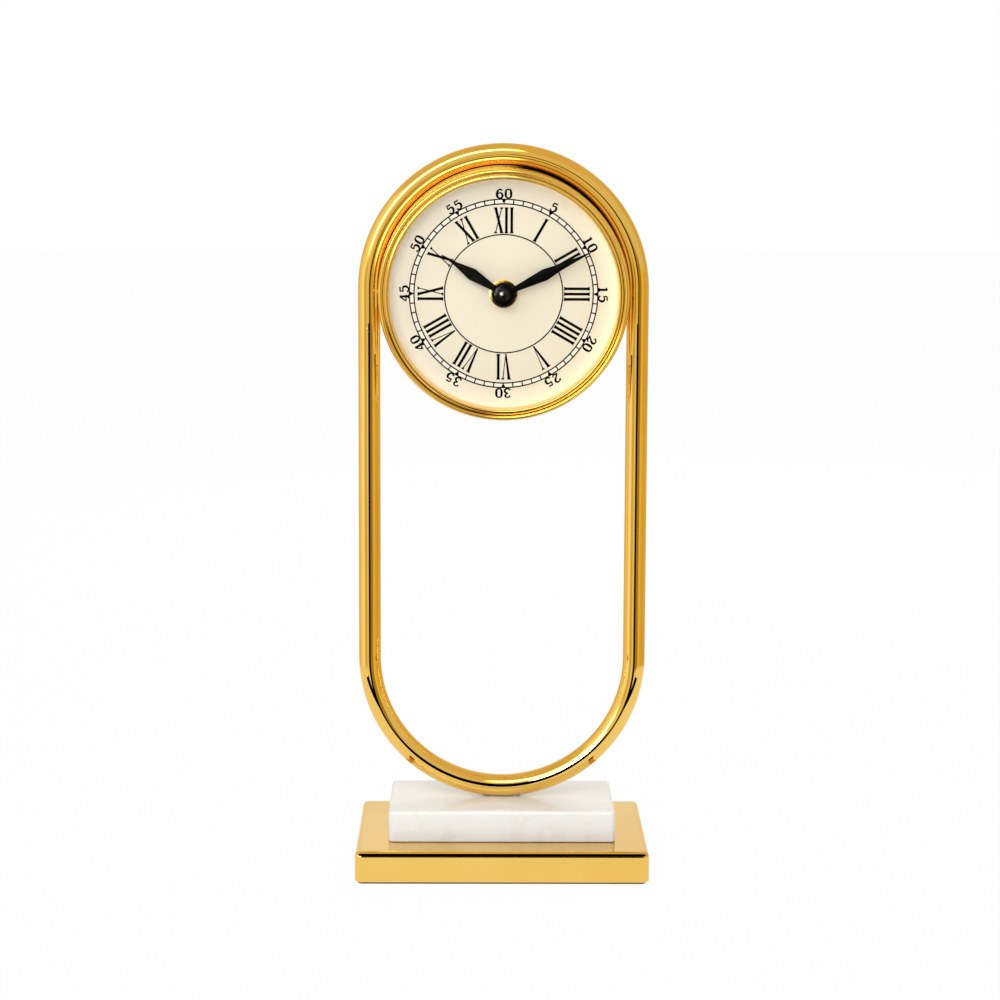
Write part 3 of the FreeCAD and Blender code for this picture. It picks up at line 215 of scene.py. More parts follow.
def makeCreamDial():
    # rim is painted light: a paler cream towards the dial's edge, standing in for light the gold reflector
    # ring bounces there
    dial = {"cream": (0.738, 0.670, 0.514), "cloud": (0.705, 0.637, 0.486), "clouds": (0.030, 3.0),
            "cloudShare": 0.25, "rim": (0.900, 0.860, 0.735), "paintedRimLightPlace": (46.0 * mm, 60.0 * mm),
            "track": (0.880, 0.835, 0.730), "trackShare": 0.7, "trackInner": (46.5 * mm, 46.7 * mm),
            "trackOuter": (48.7 * mm, 48.9 * mm), "grain": (0.0006, 3.0), "grainDepth": 0.000008,
            "smooth": 0.42, "grainRough": 0.10, "specular": 0.25}
    s = newSheet("creamDial")
    radius = s.aroundHead()["radius"]
    middle = s.mixed(s.noise(*dial["clouds"]) * dial["cloudShare"], dial["cream"], dial["cloud"])
    # painted light: the cream grows paler towards the rim to offset the shade under the bezel
    toneWithPaintedRimLight = s.mixed(s.between(radius, *dial["paintedRimLightPlace"]), middle, dial["rim"])
    track = s.inside(radius, dial["trackInner"], dial["trackOuter"]) * dial["trackShare"]
    grain = s.noise(*dial["grain"])
    return s.surface(colour=s.mixed(track, toneWithPaintedRimLight, dial["track"]),
                     roughness=dial["smooth"] + grain * dial["grainRough"],
                     normal=s.bump(grain, dial["grainDepth"]), specular=dial["specular"])


def makePlastic(name, colour, other, roughness, depth, **more):
    plastic = {"pebble": (0.0007, 3.0), "pebbleShare": 0.2, "pebbleRough": 0.12,
               "cloud": (0.020, 2.0, 0.35, 0.70), "cloudShare": 0.6}
    s = newSheet(name)
    pebble = s.noise(*plastic["pebble"])
    share = s.patches(*plastic["cloud"]) * plastic["cloudShare"] + pebble * plastic["pebbleShare"]
    return s.surface(colour=s.mixed(share, colour, other), normal=s.bump(pebble, depth),
                     roughness=roughness + pebble * plastic["pebbleRough"], **more)


def makeGloss():                                           # lacquer that is thickest on the cap's dome
    gloss = {"black": (0.0008, 0.0008, 0.0008), "worn": (0.0016, 0.0016, 0.0016), "cloud": (0.003, 2.0),
             "smooth": 0.14, "cloudRough": 0.04, "specular": 0.04, "coat": 0.70, "coatRoughness": 0.15,
             "domeEdge": (2.4 * mm, 3.2 * mm)}
    s = newSheet("blackGloss")
    dome = 1.0 - s.between(s.aroundHead()["radius"], *gloss["domeEdge"])
    cloud = s.noise(*gloss["cloud"])
    return s.surface(colour=s.mixed(cloud, gloss["black"], gloss["worn"]), specular=gloss["specular"],
                     roughness=gloss["smooth"] + cloud * gloss["cloudRough"],
                     coat=dome * gloss["coat"], coatRoughness=gloss["coatRoughness"])


def makeGlass():
    glass = {"tint": white, "ior": 1.50, "share": 0.03, "dust": (0.012, 4.0, 0.55, 0.80),
             "dustShare": 0.001, "smooth": 0.015, "dustRough": 0.02}
    s = newSheet("clearGlass")
    sheen = s.node("Fresnel", {}, {"IOR": glass["ior"]})["Fac"]
    dust = s.patches(*glass["dust"])
    return s.surface(colour=glass["tint"], metallic=1.0,
                     roughness=glass["smooth"] + dust * glass["dustRough"],
                     alpha=sheen * glass["share"] + dust * glass["dustShare"])


def makeFelt():
    felt = {"dark": (0.150, 0.105, 0.060), "light": (0.250, 0.185, 0.115), "fibreShare": 0.7,
            "fibre": {"size": 0.00035, "detail": 4.0, "roughness": 0.7, "distortion": 0.6},
            "tuft": (0.0022, 3.0), "tuftShare": 0.3, "smooth": 0.92, "fibreRough": 0.06, "depth": 0.00012,
            "sheen": 0.4, "sheenRoughness": 0.5}
    s = newSheet("brownFelt")
    fibre = s.noise(**felt["fibre"])
    tuft = s.noise(*felt["tuft"])
    share = fibre * felt["fibreShare"] + tuft * felt["tuftShare"]
    return s.surface(colour=s.mixed(share, felt["dark"], felt["light"]),
                     roughness=felt["smooth"] + fibre * felt["fibreRough"],
                     normal=s.bump(fibre + tuft, felt["depth"]),
                     sheen=felt["sheen"], sheenRoughness=felt["sheenRoughness"])


def makeMetal(name, colour, other, roughness, stretch=(1.0, 1.0, 1.0)):
    metal = {"brush": (0.0006, 3.0), "brushRough": 0.15, "brushDepth": 0.000006,
             "stain": (0.006, 3.0, 0.40, 0.75)}
    s = newSheet(name)
    brush = s.noise(*metal["brush"], s.place(scale=stretch))
    return s.surface(colour=s.mixed(s.patches(*metal["stain"]), colour, other), metallic=1.0,
                     roughness=roughness + brush * metal["brushRough"],
                     normal=s.bump(brush, metal["brushDepth"]))


finishes = {
    "polished_gold": makePolishedGold(),
    "marble": makeMarble(),
    "cream_dial": makeCreamDial(),
    "black_enamel": makePlastic("blackEnamel", (0.0008, 0.0008, 0.0008), (0.0014, 0.0013, 0.0013),
                                roughness=0.40, depth=0.000004, specular=0.02),
    "black_gloss": makeGloss(),
    "black_plastic": makePlastic("blackPlastic", (0.020, 0.020, 0.021), (0.030, 0.030, 0.031),
                                 roughness=0.42, depth=0.00003),
    "white_plastic": makePlastic("whitePlastic", (0.800, 0.800, 0.780), (0.740, 0.735, 0.705),
                                 roughness=0.35, depth=0.00001),
    "clear_glass": makeGlass(),
    "black_rubber": makePlastic("blackRubber", (0.018, 0.018, 0.018), (0.030, 0.029, 0.028),
                                roughness=0.70, depth=0.00002),
    "felt": makeFelt(),
    "steel": makeMetal("brightSteel", (0.560, 0.555, 0.545), (0.470, 0.460, 0.440), roughness=0.22),
    "copper_wire": makeMetal("copperWire", (0.740, 0.330, 0.150), (0.610, 0.250, 0.110), roughness=0.28,
                             stretch=(1.0, 1.0, 12.0)),
    "board_green": makePlastic("boardGreen", (0.020, 0.120, 0.050), (0.028, 0.150, 0.065),
                               roughness=0.30, depth=0.000008, coat=0.4),
    "battery_jacket": makePlastic("batteryJacket", (0.050, 0.052, 0.060), (0.420, 0.290, 0.090),
                                  roughness=0.25, depth=0.000004, coat=0.5),
    "magnet_grey": makeMetal("magnetGrey", (0.260, 0.260, 0.270), (0.200, 0.200, 0.210), roughness=0.35),
}
print("finishes made:", len(finishes))


def only(kind, geom):
    return [g for g in geom if isinstance(g, kind)]


def newPiece(bm, name, material):
    mesh = bpy.data.meshes.new(name)
    bm.to_mesh(mesh)
    bm.free()
    mesh.materials.append(material)
    piece = bpy.data.objects.new(name, mesh)
    scene.collection.objects.link(piece)
    return piece


def finishPiece(bm, name, slotName, body, *hidden, sharp=32.0, weighted=False):
    bmesh.ops.remove_doubles(bm, verts=bm.verts, dist=weld)
    bmesh.ops.recalc_face_normals(bm, faces=bm.faces)
    piece = newPiece(bm, name, finishes[slotName])
    piece.data.shade_smooth()
    piece.data.set_sharp_from_angle(angle=math.radians(sharp))
    if weighted:                                           # keeps the flats flat beside their rounds
        modifier = piece.modifiers.new("flats", "WEIGHTED_NORMAL")
        modifier.keep_sharp = True
    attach(piece, body)
    if hidden:
        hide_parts(*hidden)


def roundOff(bm, geom, radius, segments, kind="EDGES"):    # radius in mm
    bmesh.ops.bevel(bm, geom=geom, offset=radius * mm, affect=kind, segments=segments, profile=0.5,
                    material=-1, clamp_overlap=True)


def turnedPiece(section, steps=192):                       # (radius, depth, round) in mm, spun about the axis
    bm = bmesh.new()
    corners = [bm.verts.new((r * mm, y * mm, headZ)) for r, y, rounding in section]
    bm.faces.new(corners)
    for radius in sorted({rounding for r, y, rounding in section if rounding}, reverse=True):
        group = [v for v, (r, y, rounding) in zip(corners, section) if rounding == radius]
        roundOff(bm, group, radius, segments=6, kind="VERTICES")
    bmesh.ops.delete(bm, geom=bm.faces[:], context="FACES_ONLY")
    onAxis = [e for e in bm.edges if all(abs(v.co.x) < near for v in e.verts)]
    bmesh.ops.delete(bm, geom=onAxis, context="EDGES")
    bmesh.ops.spin(bm, geom=bm.verts[:] + bm.edges[:], cent=(0.0, 0.0, headZ), axis=backward,
                   angle=math.tau, steps=steps, use_merge=True)
    return bm


def roundedBlock(size):                                    # a box with round corners, top edge and foot
    bm = bmesh.new()
    bmesh.ops.create_cube(bm, size=1.0)
    bmesh.ops.scale(bm, vec=(2 * size["halfWidth"] * mm, 2 * size["halfDepth"] * mm,
                             (size["top"] - size["bottom"]) * mm), verts=bm.verts)
    bmesh.ops.translate(bm, vec=(0.0, 0.0, (size["top"] + size["bottom"]) / 2 * mm), verts=bm.verts)
    upright = [e for e in bm.edges if abs(e.verts[0].co.z - e.verts[1].co.z) > mm]
    roundOff(bm, upright, size["corner"], segments=8)
    for level, radius in ((size["top"], size["topRound"]), (size["bottom"], size["footRound"])):
        rim = [e for e in bm.edges if all(abs(v.co.z - level * mm) < near for v in e.verts)]
        roundOff(bm, rim, radius, segments=7)
    return bm


def makeCamera():
    view = {"place": (-13.23, -1329.7, 398.0), "pitch": 7.63, "yaw": 0.505, "roll": 0.24, "focal": 2555.8,
            "shift": -0.05, "frame": 1000.0, "sensor": 36.0}
    data = bpy.data.cameras.new("photoCamera")
    data.sensor_width = view["sensor"]
    data.lens = view["focal"] * view["sensor"] / view["frame"]
    data.shift_y = view["shift"]
    camera = bpy.data.objects.new("photoCamera", data)
    scene.collection.objects.link(camera)
    turn = (Matrix.Rotation(math.radians(-view["yaw"]), 4, "Z")
            @ Matrix.Rotation(math.radians(90.0 - view["pitch"]), 4, "X")
            @ Matrix.Rotation(math.radians(view["roll"]), 4, "Z"))
    camera.matrix_world = Matrix.Translation(Vector(view["place"]) * mm) @ turn
    scene.camera = camera


makeCamera()
print("camera placed")


def makeBase():
    plate = {"halfWidth": 76.2, "halfDepth": 50.8, "bottom": 1.0, "top": 17.1, "corner": 3.5,
             "topRound": 3.0, "footRound": 1.0}
    block = {"halfWidth": 59.3, "halfDepth": 32.15, "bottom": 17.1, "top": 33.6, "corner": 2.8,
             "topRound": 2.2, "footRound": 0.8}
    finishPiece(roundedBlock(plate), "baseCasting", "polished_gold", "clock_body", "base_plate",
                sharp=60.0, weighted=True)
    finishPiece(roundedBlock(block), "marbleBlock", "marble", "clock_body", "marble_block",
                sharp=60.0, weighted=True)


makeBase()
print("base and marble made")


def makeHoop():
    hoop = {"radius": 69.95, "tube": 5.8, "low": 109.35, "high": 304.25, "around": 64, "arc": 96}
    rise = (hoop["high"] - hoop["low"]) * mm
    bm = bmesh.new()

    def bend(geom, level):                                 # half a turn, which ends in a ring of vertices
        return bmesh.ops.spin(bm, geom=geom, cent=(0.0, 0.0, level * mm), axis=backward,
                              angle=math.pi, steps=hoop["arc"])["geom_last"]

    def leg(ring, lift):                                   # a straight stretch that starts at a ring
        made = bmesh.ops.extrude_edge_only(bm, edges=only(bmesh.types.BMEdge, ring))["geom"]
        bmesh.ops.translate(bm, vec=(0.0, 0.0, lift), verts=only(bmesh.types.BMVert, made))
        return only(bmesh.types.BMVert, made)

    ring = bmesh.ops.create_circle(bm, cap_ends=False, radius=hoop["tube"] * mm, segments=hoop["around"])
    bmesh.ops.translate(bm, vec=(hoop["radius"] * mm, 0.0, hoop["low"] * mm), verts=ring["verts"])
    top = leg(bend(bm.verts[:] + bm.edges[:], hoop["low"]), rise)
    topEdges = [e for e in bm.edges if e.verts[0] in top and e.verts[1] in top]
    leg(bend(top + topEdges, hoop["high"]), -rise)
    finishPiece(bm, "hoopTube", "polished_gold", "clock_body", "hoop_tube", sharp=60.0)


makeHoop()
print("hoop made")


def makeHead():
    bezel = [(61.6, -14.4, 0.0), (61.6, -17.2, 0.0), (61.3, -17.2, 0.15), (59.5, -17.3, 0.2),
             (59.5, -18.7, 0.8), (61.1, -18.7, 0.7), (61.6, -18.1, 0.1), (62.4, -18.1, 0.1),
             (62.7, -19.05, 0.8), (64.0, -19.05, 0.8), (65.0, -16.8, 1.6), (65.0, -7.85, 0.6),
             (62.0, -7.85, 0.3)]
    drum = [(60.8, -13.8, 0.3), (62.0, -13.8, 0.3), (62.0, 14.5, 0.5), (60.8, 14.5, 0.3)]
    reflector = [(59.3, -5.0, 0.0), (60.2, -13.8, 0.2), (60.75, -13.8, 0.0), (60.75, -5.0, 0.0)]
    washer = [(4.0, -5.8, 0.0), (7.3, -5.8, 0.3), (7.3, -5.0, 0.0), (4.0, -5.0, 0.0)]
    finishPiece(turnedPiece(bezel), "bezelRing", "polished_gold", "clock_body", "bezel_ring")
    finishPiece(turnedPiece(drum), "drumCase", "polished_gold", "clock_body", "drum_case")
    finishPiece(turnedPiece(reflector), "reflectorRing", "polished_gold", "clock_body", "reflector_ring")
    finishPiece(turnedPiece(washer, steps=96), "hubWasher", "polished_gold", "clock_body", "dial_washer")


def makeSaddle():                                          # packing between the drum and the hoop's arch
    saddle = {"inner": 61.9, "outer": 64.35, "half": 3.6, "lift": 2.0, "steps": 96}
    low, high, half = saddle["inner"] * mm, saddle["outer"] * mm, saddle["half"] * mm
    bm = bmesh.new()
    verts = [bm.verts.new((r, y, headZ)) for r, y in ((low, -half), (high, -half), (high, half), (low, half))]
    bmesh.ops.spin(bm, geom=[bm.faces.new(verts)], cent=(0.0, 0.0, headZ), axis=(0.0, -1.0, 0.0),
                   angle=math.pi, steps=saddle["steps"])
    outer = [v for v in bm.verts if math.hypot(v.co.x, v.co.z - headZ) > (low + high) / 2]
    bmesh.ops.translate(bm, vec=(0.0, 0.0, saddle["lift"] * mm), verts=outer)
    finishPiece(bm, "headSaddle", "polished_gold", "clock_body")


def makeCap():
    cap = {"round": 8.6, "front": -13.75, "edge": 3.2, "steps": 7}
    ring = [(3.5, -12.9, 0.2), (6.2, -12.7, 1.4), (6.2, -10.8, 0.2), (0.0, -10.8, 0.0)]
    arc = [cap["edge"] * n / cap["steps"] for n in range(cap["steps"] + 1)]
    dome = [(r, cap["front"] + cap["round"] - math.sqrt(cap["round"] ** 2 - r ** 2), 0.0) for r in arc]
    finishPiece(turnedPiece(dome + ring, steps=96), "handCap", "black_gloss", "minute_work", "hand_cap",
                sharp=50.0)


makeHead()
makeSaddle()
makeCap()
print("clock head made")


dialFace = -5.0                                            # mm, the front of the dial
ink = 0.04                                                 # mm, the print's thickness


def minuteTurn(minute, size):                              # about the head's axis, as a size x size matrix
    return Matrix.Rotation(math.tau * minute / 60, size, "Y")


def flatRing(bm, inner, outer):                            # a printed circle
    verts = [bm.verts.new((r * mm, y * mm, headZ)) for r, y in
             ((inner, dialFace), (inner, dialFace - ink), (outer, dialFace - ink), (outer, dialFace))]
    edges = [bm.edges.new((verts[n - 1], verts[n])) for n in range(4)]
    bmesh.ops.spin(bm, geom=verts + edges, cent=(0.0, 0.0, headZ), axis=backward, angle=math.tau,
                   steps=240, use_merge=True)


def flatShape(bm, corners, minute):                        # (across, out) corners in mm, turned to a minute
    verts = [bm.verts.new((x * mm, dialFace * mm, headZ + z * mm)) for x, z in corners]
    raised = bmesh.ops.extrude_face_region(bm, geom=[bm.faces.new(verts)])["geom"]
    new = only(bmesh.types.BMVert, raised)
    bmesh.ops.translate(bm, vec=(0.0, -ink * mm, 0.0), verts=new)
    bmesh.ops.rotate(bm, cent=(0.0, 0.0, headZ), matrix=minuteTurn(minute, 3), verts=verts + new)


def makeTrack():
    track = {"circles": (30.7, 46.5, 48.9), "line": 0.66, "tick": 0.64, "mark": 1.3}
    bm = bmesh.new()
    for radius in track["circles"]:
        flatRing(bm, radius - track["line"] / 2, radius + track["line"] / 2)
    inner, outer = track["circles"][1:]
    half = track["tick"] / 2
    for minute in range(60):
        flatShape(bm, [(-half, inner), (half, inner), (half, outer), (-half, outer)], minute)
        if minute % 5 == 0:
            flatShape(bm, [(-track["mark"], outer), (0.0, inner), (track["mark"], outer)], minute)
    finishPiece(bm, "minuteTrack", "black_enamel", "clock_body")


def makeHours():
    roman = {"foot": 31.3, "head": 44.7, "stem": 1.42, "thin": 0.54, "serif": 1.00, "slab": 0.34,
             "wedge": 0.62, "thinSerif": 0.85, "thinWedge": 1.25, "tip": 0.6, "step": 2.74, "cross": 3.3,
             "fork": 3.3, "forkFoot": 0.15, "space": 2.0}
    words = ["XII", "I", "II", "III", "IIII", "V", "VI", "VII", "VIII", "IX", "X", "XI"]
    widths = {"I": roman["step"], "V": roman["fork"] + roman["space"], "X": roman["cross"] + roman["space"]}
    bm = bmesh.new()

    def stroke(low, high, width, minute, pointed=False):   # a stem or a slope with its serifs
        foot, head, slab = roman["foot"], roman["head"], roman["slab"]
        s, w, wedge = roman["serif"], width / 2, roman["wedge"]
        if width == roman["thin"]:
            s, wedge = s * roman["thinSerif"], wedge * roman["thinWedge"]
        left = [(-s, foot), (-s, foot + slab), (-w, foot + slab + wedge), (-w, head - slab - wedge),
                (-s, head - slab), (-s, head)]
        right = [(-x, z) for x, z in reversed(left)]
        if pointed:                                        # no serif at the foot
            left[:3], right[-3:] = [(-w * roman["tip"], foot)], [(w * roman["tip"], foot)]
        slope = (high - low) / (head - foot)
        flatShape(bm, [(x + low + slope * (z - foot), z) for x, z in left + right], minute)

    for hour, word in enumerate(words):
        x = -sum(widths[letter] for letter in word) / 2
        for letter in word:
            middle = x + widths[letter] / 2
            if letter == "I":
                stroke(middle, middle, roman["stem"], hour * 5)
            elif letter == "X":
                half = roman["cross"] / 2
                stroke(middle + half, middle - half, roman["stem"], hour * 5)
                stroke(middle - half, middle + half, roman["thin"], hour * 5)
            else:
                half, foot = roman["fork"] / 2, middle + roman["forkFoot"]
                stroke(foot, middle - half, roman["stem"], hour * 5, pointed=True)
                stroke(foot, middle + half, roman["thin"], hour * 5, pointed=True)
            x += widths[letter]
    finishPiece(bm, "hourNumerals", "black_enamel", "clock_body")


def penLine(stroke, shift, size):                          # the mesh of one stroke, round in section
    curve = bpy.data.curves.new("pen", "CURVE")
    curve.dimensions = "3D"
    curve.bevel_depth, curve.bevel_resolution = size["height"] * mm, 1
    curve.resolution_u, curve.use_fill_caps = 5, True
    line = curve.splines.new("NURBS")
    line.points.add(len(stroke) - 1)
    for point, (across, up, half) in zip(line.points, stroke):
        point.co = ((shift + (across - size["middle"]) * size["height"]) * mm,
                    (up * size["height"] + size["foot"]) * mm, 0.0, 1.0)
        point.radius = max(half, size["thin"]) * size["weight"]
    line.order_u = 3
    line.use_endpoint_u = True
    pen = bpy.data.objects.new("pen", curve)
    scene.collection.objects.link(pen)
    mesh = bpy.data.meshes.new_from_object(pen)
    bpy.data.objects.remove(pen)
    bpy.data.curves.remove(curve)
    return mesh


def makeMinutes():
    digits = {                                             # pen strokes as (across, up, half width), 1 high
        "0": [[(0.40, 0.00, 0.045), (0.13, 0.06, 0.085), (0.085, 0.50, 0.120), (0.13, 0.94, 0.085),
               (0.40, 1.00, 0.045), (0.67, 0.94, 0.085), (0.715, 0.50, 0.120), (0.67, 0.06, 0.085),
               (0.40, 0.00, 0.045)]],
        "1": [[(0.40, 0.02, 0.105), (0.40, 0.50, 0.105), (0.40, 0.97, 0.100)],
              [(0.40, 0.98, 0.050), (0.30, 0.88, 0.045), (0.16, 0.82, 0.040)],
              [(0.16, 0.02, 0.040), (0.40, 0.03, 0.050), (0.64, 0.02, 0.040)]],
        "2": [[(0.12, 0.72, 0.105), (0.14, 0.92, 0.060), (0.40, 1.03, 0.045), (0.68, 0.92, 0.100),
               (0.66, 0.62, 0.110), (0.34, 0.34, 0.060), (0.10, 0.05, 0.040)],
              [(0.10, 0.06, 0.050), (0.28, 0.12, 0.070), (0.52, 0.02, 0.085), (0.70, 0.10, 0.050),
               (0.74, 0.26, 0.030)]],
        "3": [[(0.13, 0.80, 0.095), (0.20, 0.98, 0.050), (0.50, 1.02, 0.060), (0.68, 0.84, 0.095),
               (0.60, 0.60, 0.070), (0.34, 0.53, 0.040)],
              [(0.34, 0.53, 0.040), (0.64, 0.50, 0.075), (0.75, 0.24, 0.110), (0.55, 0.00, 0.065),
               (0.22, 0.00, 0.045), (0.11, 0.18, 0.095)]],
        "4": [[(0.56, 0.02, 0.100), (0.56, 0.50, 0.100), (0.56, 0.97, 0.095)],
              [(0.54, 0.98, 0.050), (0.30, 0.62, 0.045), (0.04, 0.28, 0.040)],
              [(0.04, 0.27, 0.040), (0.40, 0.27, 0.050), (0.78, 0.27, 0.045)],
              [(0.34, 0.02, 0.035), (0.56, 0.03, 0.050), (0.76, 0.02, 0.035)]],
        "5": [[(0.20, 0.97, 0.050), (0.44, 0.90, 0.080), (0.66, 0.98, 0.060)],
              [(0.20, 0.97, 0.045), (0.18, 0.75, 0.040), (0.16, 0.54, 0.040)],
              [(0.16, 0.54, 0.040), (0.42, 0.68, 0.050), (0.72, 0.56, 0.100), (0.72, 0.22, 0.115),
               (0.52, -0.02, 0.060), (0.20, 0.00, 0.045), (0.11, 0.17, 0.095)]],
        "6": [[(0.66, 0.83, 0.085), (0.58, 1.02, 0.045), (0.28, 0.96, 0.075), (0.08, 0.62, 0.115),
               (0.09, 0.20, 0.110), (0.36, -0.03, 0.050), (0.70, 0.08, 0.095), (0.72, 0.42, 0.110),
               (0.52, 0.64, 0.055), (0.22, 0.54, 0.040), (0.14, 0.36, 0.050)]],
    }
    size = {"foot": 49.40, "height": 4.60, "advance": 4.5, "middle": 0.40, "weight": 1.27, "thin": 0.061,
            "depth": 0.11, "sunk": 0.2}
    flat = Matrix.Diagonal((1.0, 1.0, ink / (size["height"] * size["depth"]), 1.0))
    upright = Matrix.Rotation(math.pi / 2, 4, "X")
    place = Matrix.Translation((0.0, (dialFace - ink * size["sunk"]) * mm, headZ))
    bm = bmesh.new()
    for minute in range(5, 65, 5):
        word = str(minute)
        for n, digit in enumerate(word):
            shift = (n - (len(word) - 1) / 2) * size["advance"]
            for stroke in digits[digit]:
                mesh = penLine(stroke, shift, size)
                mesh.transform(place @ minuteTurn(minute, 4) @ upright @ flat)
                bm.from_mesh(mesh)
                bpy.data.meshes.remove(mesh)
    finishPiece(bm, "minuteNumerals", "black_enamel", "clock_body", sharp=60.0)


makeTrack()
makeHours()
makeMinutes()
print("dial printed")


def makeHand(name, node, body, hand):                      # a long lozenge that starts at its hub
    front, hub = hand["front"] * mm, hand["hub"] * mm
    bm = bmesh.new()
    start = math.asin(hand["root"] / hand["hub"])
    first = bm.verts.new((hub * math.sin(start), front, headZ + hub * math.cos(start)))
    arc = bmesh.ops.spin(bm, geom=[first], cent=(0.0, 0.0, headZ), axis=backward,
                         angle=math.tau - 2 * start, steps=48)
    left = [(-half * hand["width"] / 2, place * hand["length"]) for place, half in hand["outline"]]
    right = [(-x, z) for x, z in reversed(left)]
    blade = [bm.verts.new((x * mm, front, headZ + z * mm)) for x, z in left + right]
    chain = only(bmesh.types.BMVert, arc["geom_last"]) + blade + [first]
    for a, b in zip(chain, chain[1:]):
        bm.edges.new((a, b))
    face = bmesh.ops.contextual_create(bm, geom=bm.edges[:])["faces"]
    raised = bmesh.ops.extrude_face_region(bm, geom=face)["geom"]
    bmesh.ops.translate(bm, vec=(0.0, hand["thick"] * mm, 0.0), verts=only(bmesh.types.BMVert, raised))
    bmesh.ops.recalc_face_normals(bm, faces=bm.faces)
    edge = [e for e in bm.edges if all(abs(v.co.y - front) < near for v in e.verts)]
    roundOff(bm, edge, hand["edge"], segments=2)
    bmesh.ops.rotate(bm, cent=(0.0, 0.0, headZ), verts=bm.verts,
                     matrix=Matrix.Rotation(math.radians(hand["angle"]), 3, "Y"))
    finishPiece(bm, name, "black_enamel", body, node, sharp=25.0)


makeHand("minuteHand", "minute_hand", "minute_work",
         {"angle": 64.0, "length": 50.3, "width": 6.15, "hub": 4.0, "front": -10.8, "thick": 0.4,
          "edge": 0.10, "root": 1.15, "outline": [(0.47, 1.0), (0.63, 0.58), (1.0, 0.06)]})
makeHand("hourHand", "hour_hand", "hour_work",
         {"angle": -57.7, "length": 38.1, "width": 6.3, "hub": 4.6, "front": -9.3, "thick": 0.4,
          "edge": 0.10, "root": 1.35, "outline": [(0.51, 1.0), (0.78, 0.32), (1.0, 0.06)]})
print("hands made")


for subpart in record["subparts"]:
    for place in frame["nodes"][subpart["node"]].material_slots:
        place.material = finishes[subpart["material_slot"]]
print("finishes given to", len(record["subparts"]), "carried-over pieces")


def makeFloor():
    floor = {"radius": 6.0, "steps": 128, "paper": (0.86, 0.86, 0.855), "shown": 0.97, "table": (0.42, 0.48)}
    bm = bmesh.new()
    bmesh.ops.create_circle(bm, cap_ends=True, radius=floor["radius"], segments=floor["steps"])
    s = newSheet("paleFloor")
    path = s.node("LightPath")
    glossy = path["Is Glossy Ray"]
    seen = path["Is Camera Ray"].math("MAXIMUM", glossy).math("MAXIMUM", path["Is Transmission Ray"])
    paper = s.node("BsdfDiffuse", {}, {"Color": floor["paper"]})["BSDF"]
    x, y, z = s.apart(s.place())
    beyond = s.between((x * x + y * y).math("SQRT"), *floor["table"])
    clear = s.node("BsdfTransparent")["BSDF"]
    ground = s.blended(seen * floor["shown"], paper, s.emission(white, 1.0))
    newPiece(bm, "paleFloor", s.output(s.blended(beyond * glossy, ground, clear)))


def makeSurroundings():
    around = [                                             # degrees right of the camera's side, colour there
        (-180, (0.95, 0.93, 0.88)), (-165, (0.90, 0.82, 0.62)), (-143, (0.75, 0.58, 0.28)),
        (-106, (0.95, 0.88, 0.72)), (-80, (1.05, 1.08, 1.20)), (-62, (1.25, 1.25, 1.30)),
        (-46, (0.78, 0.68, 0.42)), (-34, (0.66, 0.54, 0.30)), (-20, (1.00, 0.95, 0.80)),
        (-13, (0.84, 0.74, 0.48)), (0, (0.84, 0.74, 0.48)), (15, (0.40, 0.28, 0.07)),
        (30, (0.40, 0.28, 0.06)), (42, (0.98, 0.82, 0.32)), (58, (0.80, 0.62, 0.18)),
        (84, (0.74, 0.56, 0.22)), (143, (0.76, 0.63, 0.38)), (165, (0.88, 0.80, 0.62)),
        (180, (0.95, 0.93, 0.88))]
    room = {"gap": (0.003, 0.002, 0.001), "gapTurn": ((0.5010, 0.5030), (0.525, 0.540)),
            "gapHeight": (-0.13, -0.10), "low": (0.88, 0.76, 0.50), "lowHeight": (-0.36, -0.27),
            "highLeft": (1.15, 1.08, 0.95), "highMiddle": (0.86, 0.78, 0.58),
            "highRight": (0.80, 0.76, 0.66), "middleStart": (-0.50, -0.20), "middleEnd": (0.10, 0.40),
            "highHeight": (0.02, 0.09), "highFront": (0.0, 0.25), "ceiling": (0.78, 0.65, 0.41),
            "ceilingHeight": (0.58, 0.70), "strip": (8.5, 8.4, 8.2),
            "stripFront": ((0.54, 0.64), (0.74, 0.80)), "stripEnd": (-0.02, 0.16),
            "stripHeight": (0.08, 0.26), "ambient": (0.50, 0.50, 0.495)}
    scene.world = bpy.data.worlds.new("studio")
    s = Sheet(scene.world)
    path = s.node("LightPath")
    camera = path["Is Camera Ray"]
    x, y, z = s.apart(s.node("TexCoord")["Generated"])
    front = 0.0 - y
    turn = x.math("ARCTAN2", front) / math.tau + 0.5       # 0.5 at the camera's side
    stops = [((degrees + 180) / 360, colour) for degrees, colour in around]
    walls = s.node("ValToRGB", {"stops": stops}, {"Fac": turn})["Color"]
    walls = s.mixed(s.inside(turn, *room["gapTurn"]) * s.between(z, *room["gapHeight"]), walls, room["gap"])
    lower = s.mixed(s.between(z, *room["lowHeight"]), room["low"], walls)
    high = s.mixed(s.between(x, *room["middleStart"]), room["highLeft"], room["highMiddle"])
    high = s.mixed(s.between(x, *room["middleEnd"]), high, room["highRight"])
    shown = s.mixed(s.between(z, *room["highHeight"]) * s.between(front, *room["highFront"]), lower, high)
    shown = s.mixed(s.between(z, *room["ceilingHeight"]), shown, room["ceiling"])
    strip = s.inside(front, *room["stripFront"]) * (1.0 - s.between(x, *room["stripEnd"]))
    shown = s.mixed(strip * s.between(z, *room["stripHeight"]), shown, room["strip"])
    shown = s.mixed(camera, shown, white)
    lit = camera.math("MAXIMUM", path["Is Glossy Ray"])
    back = s.node("Background", {}, {"Color": s.mixed(lit, room["ambient"], shown), "Strength": 1.0})
    s.node("OutputWorld", {}, {"Surface": back["Background"]})


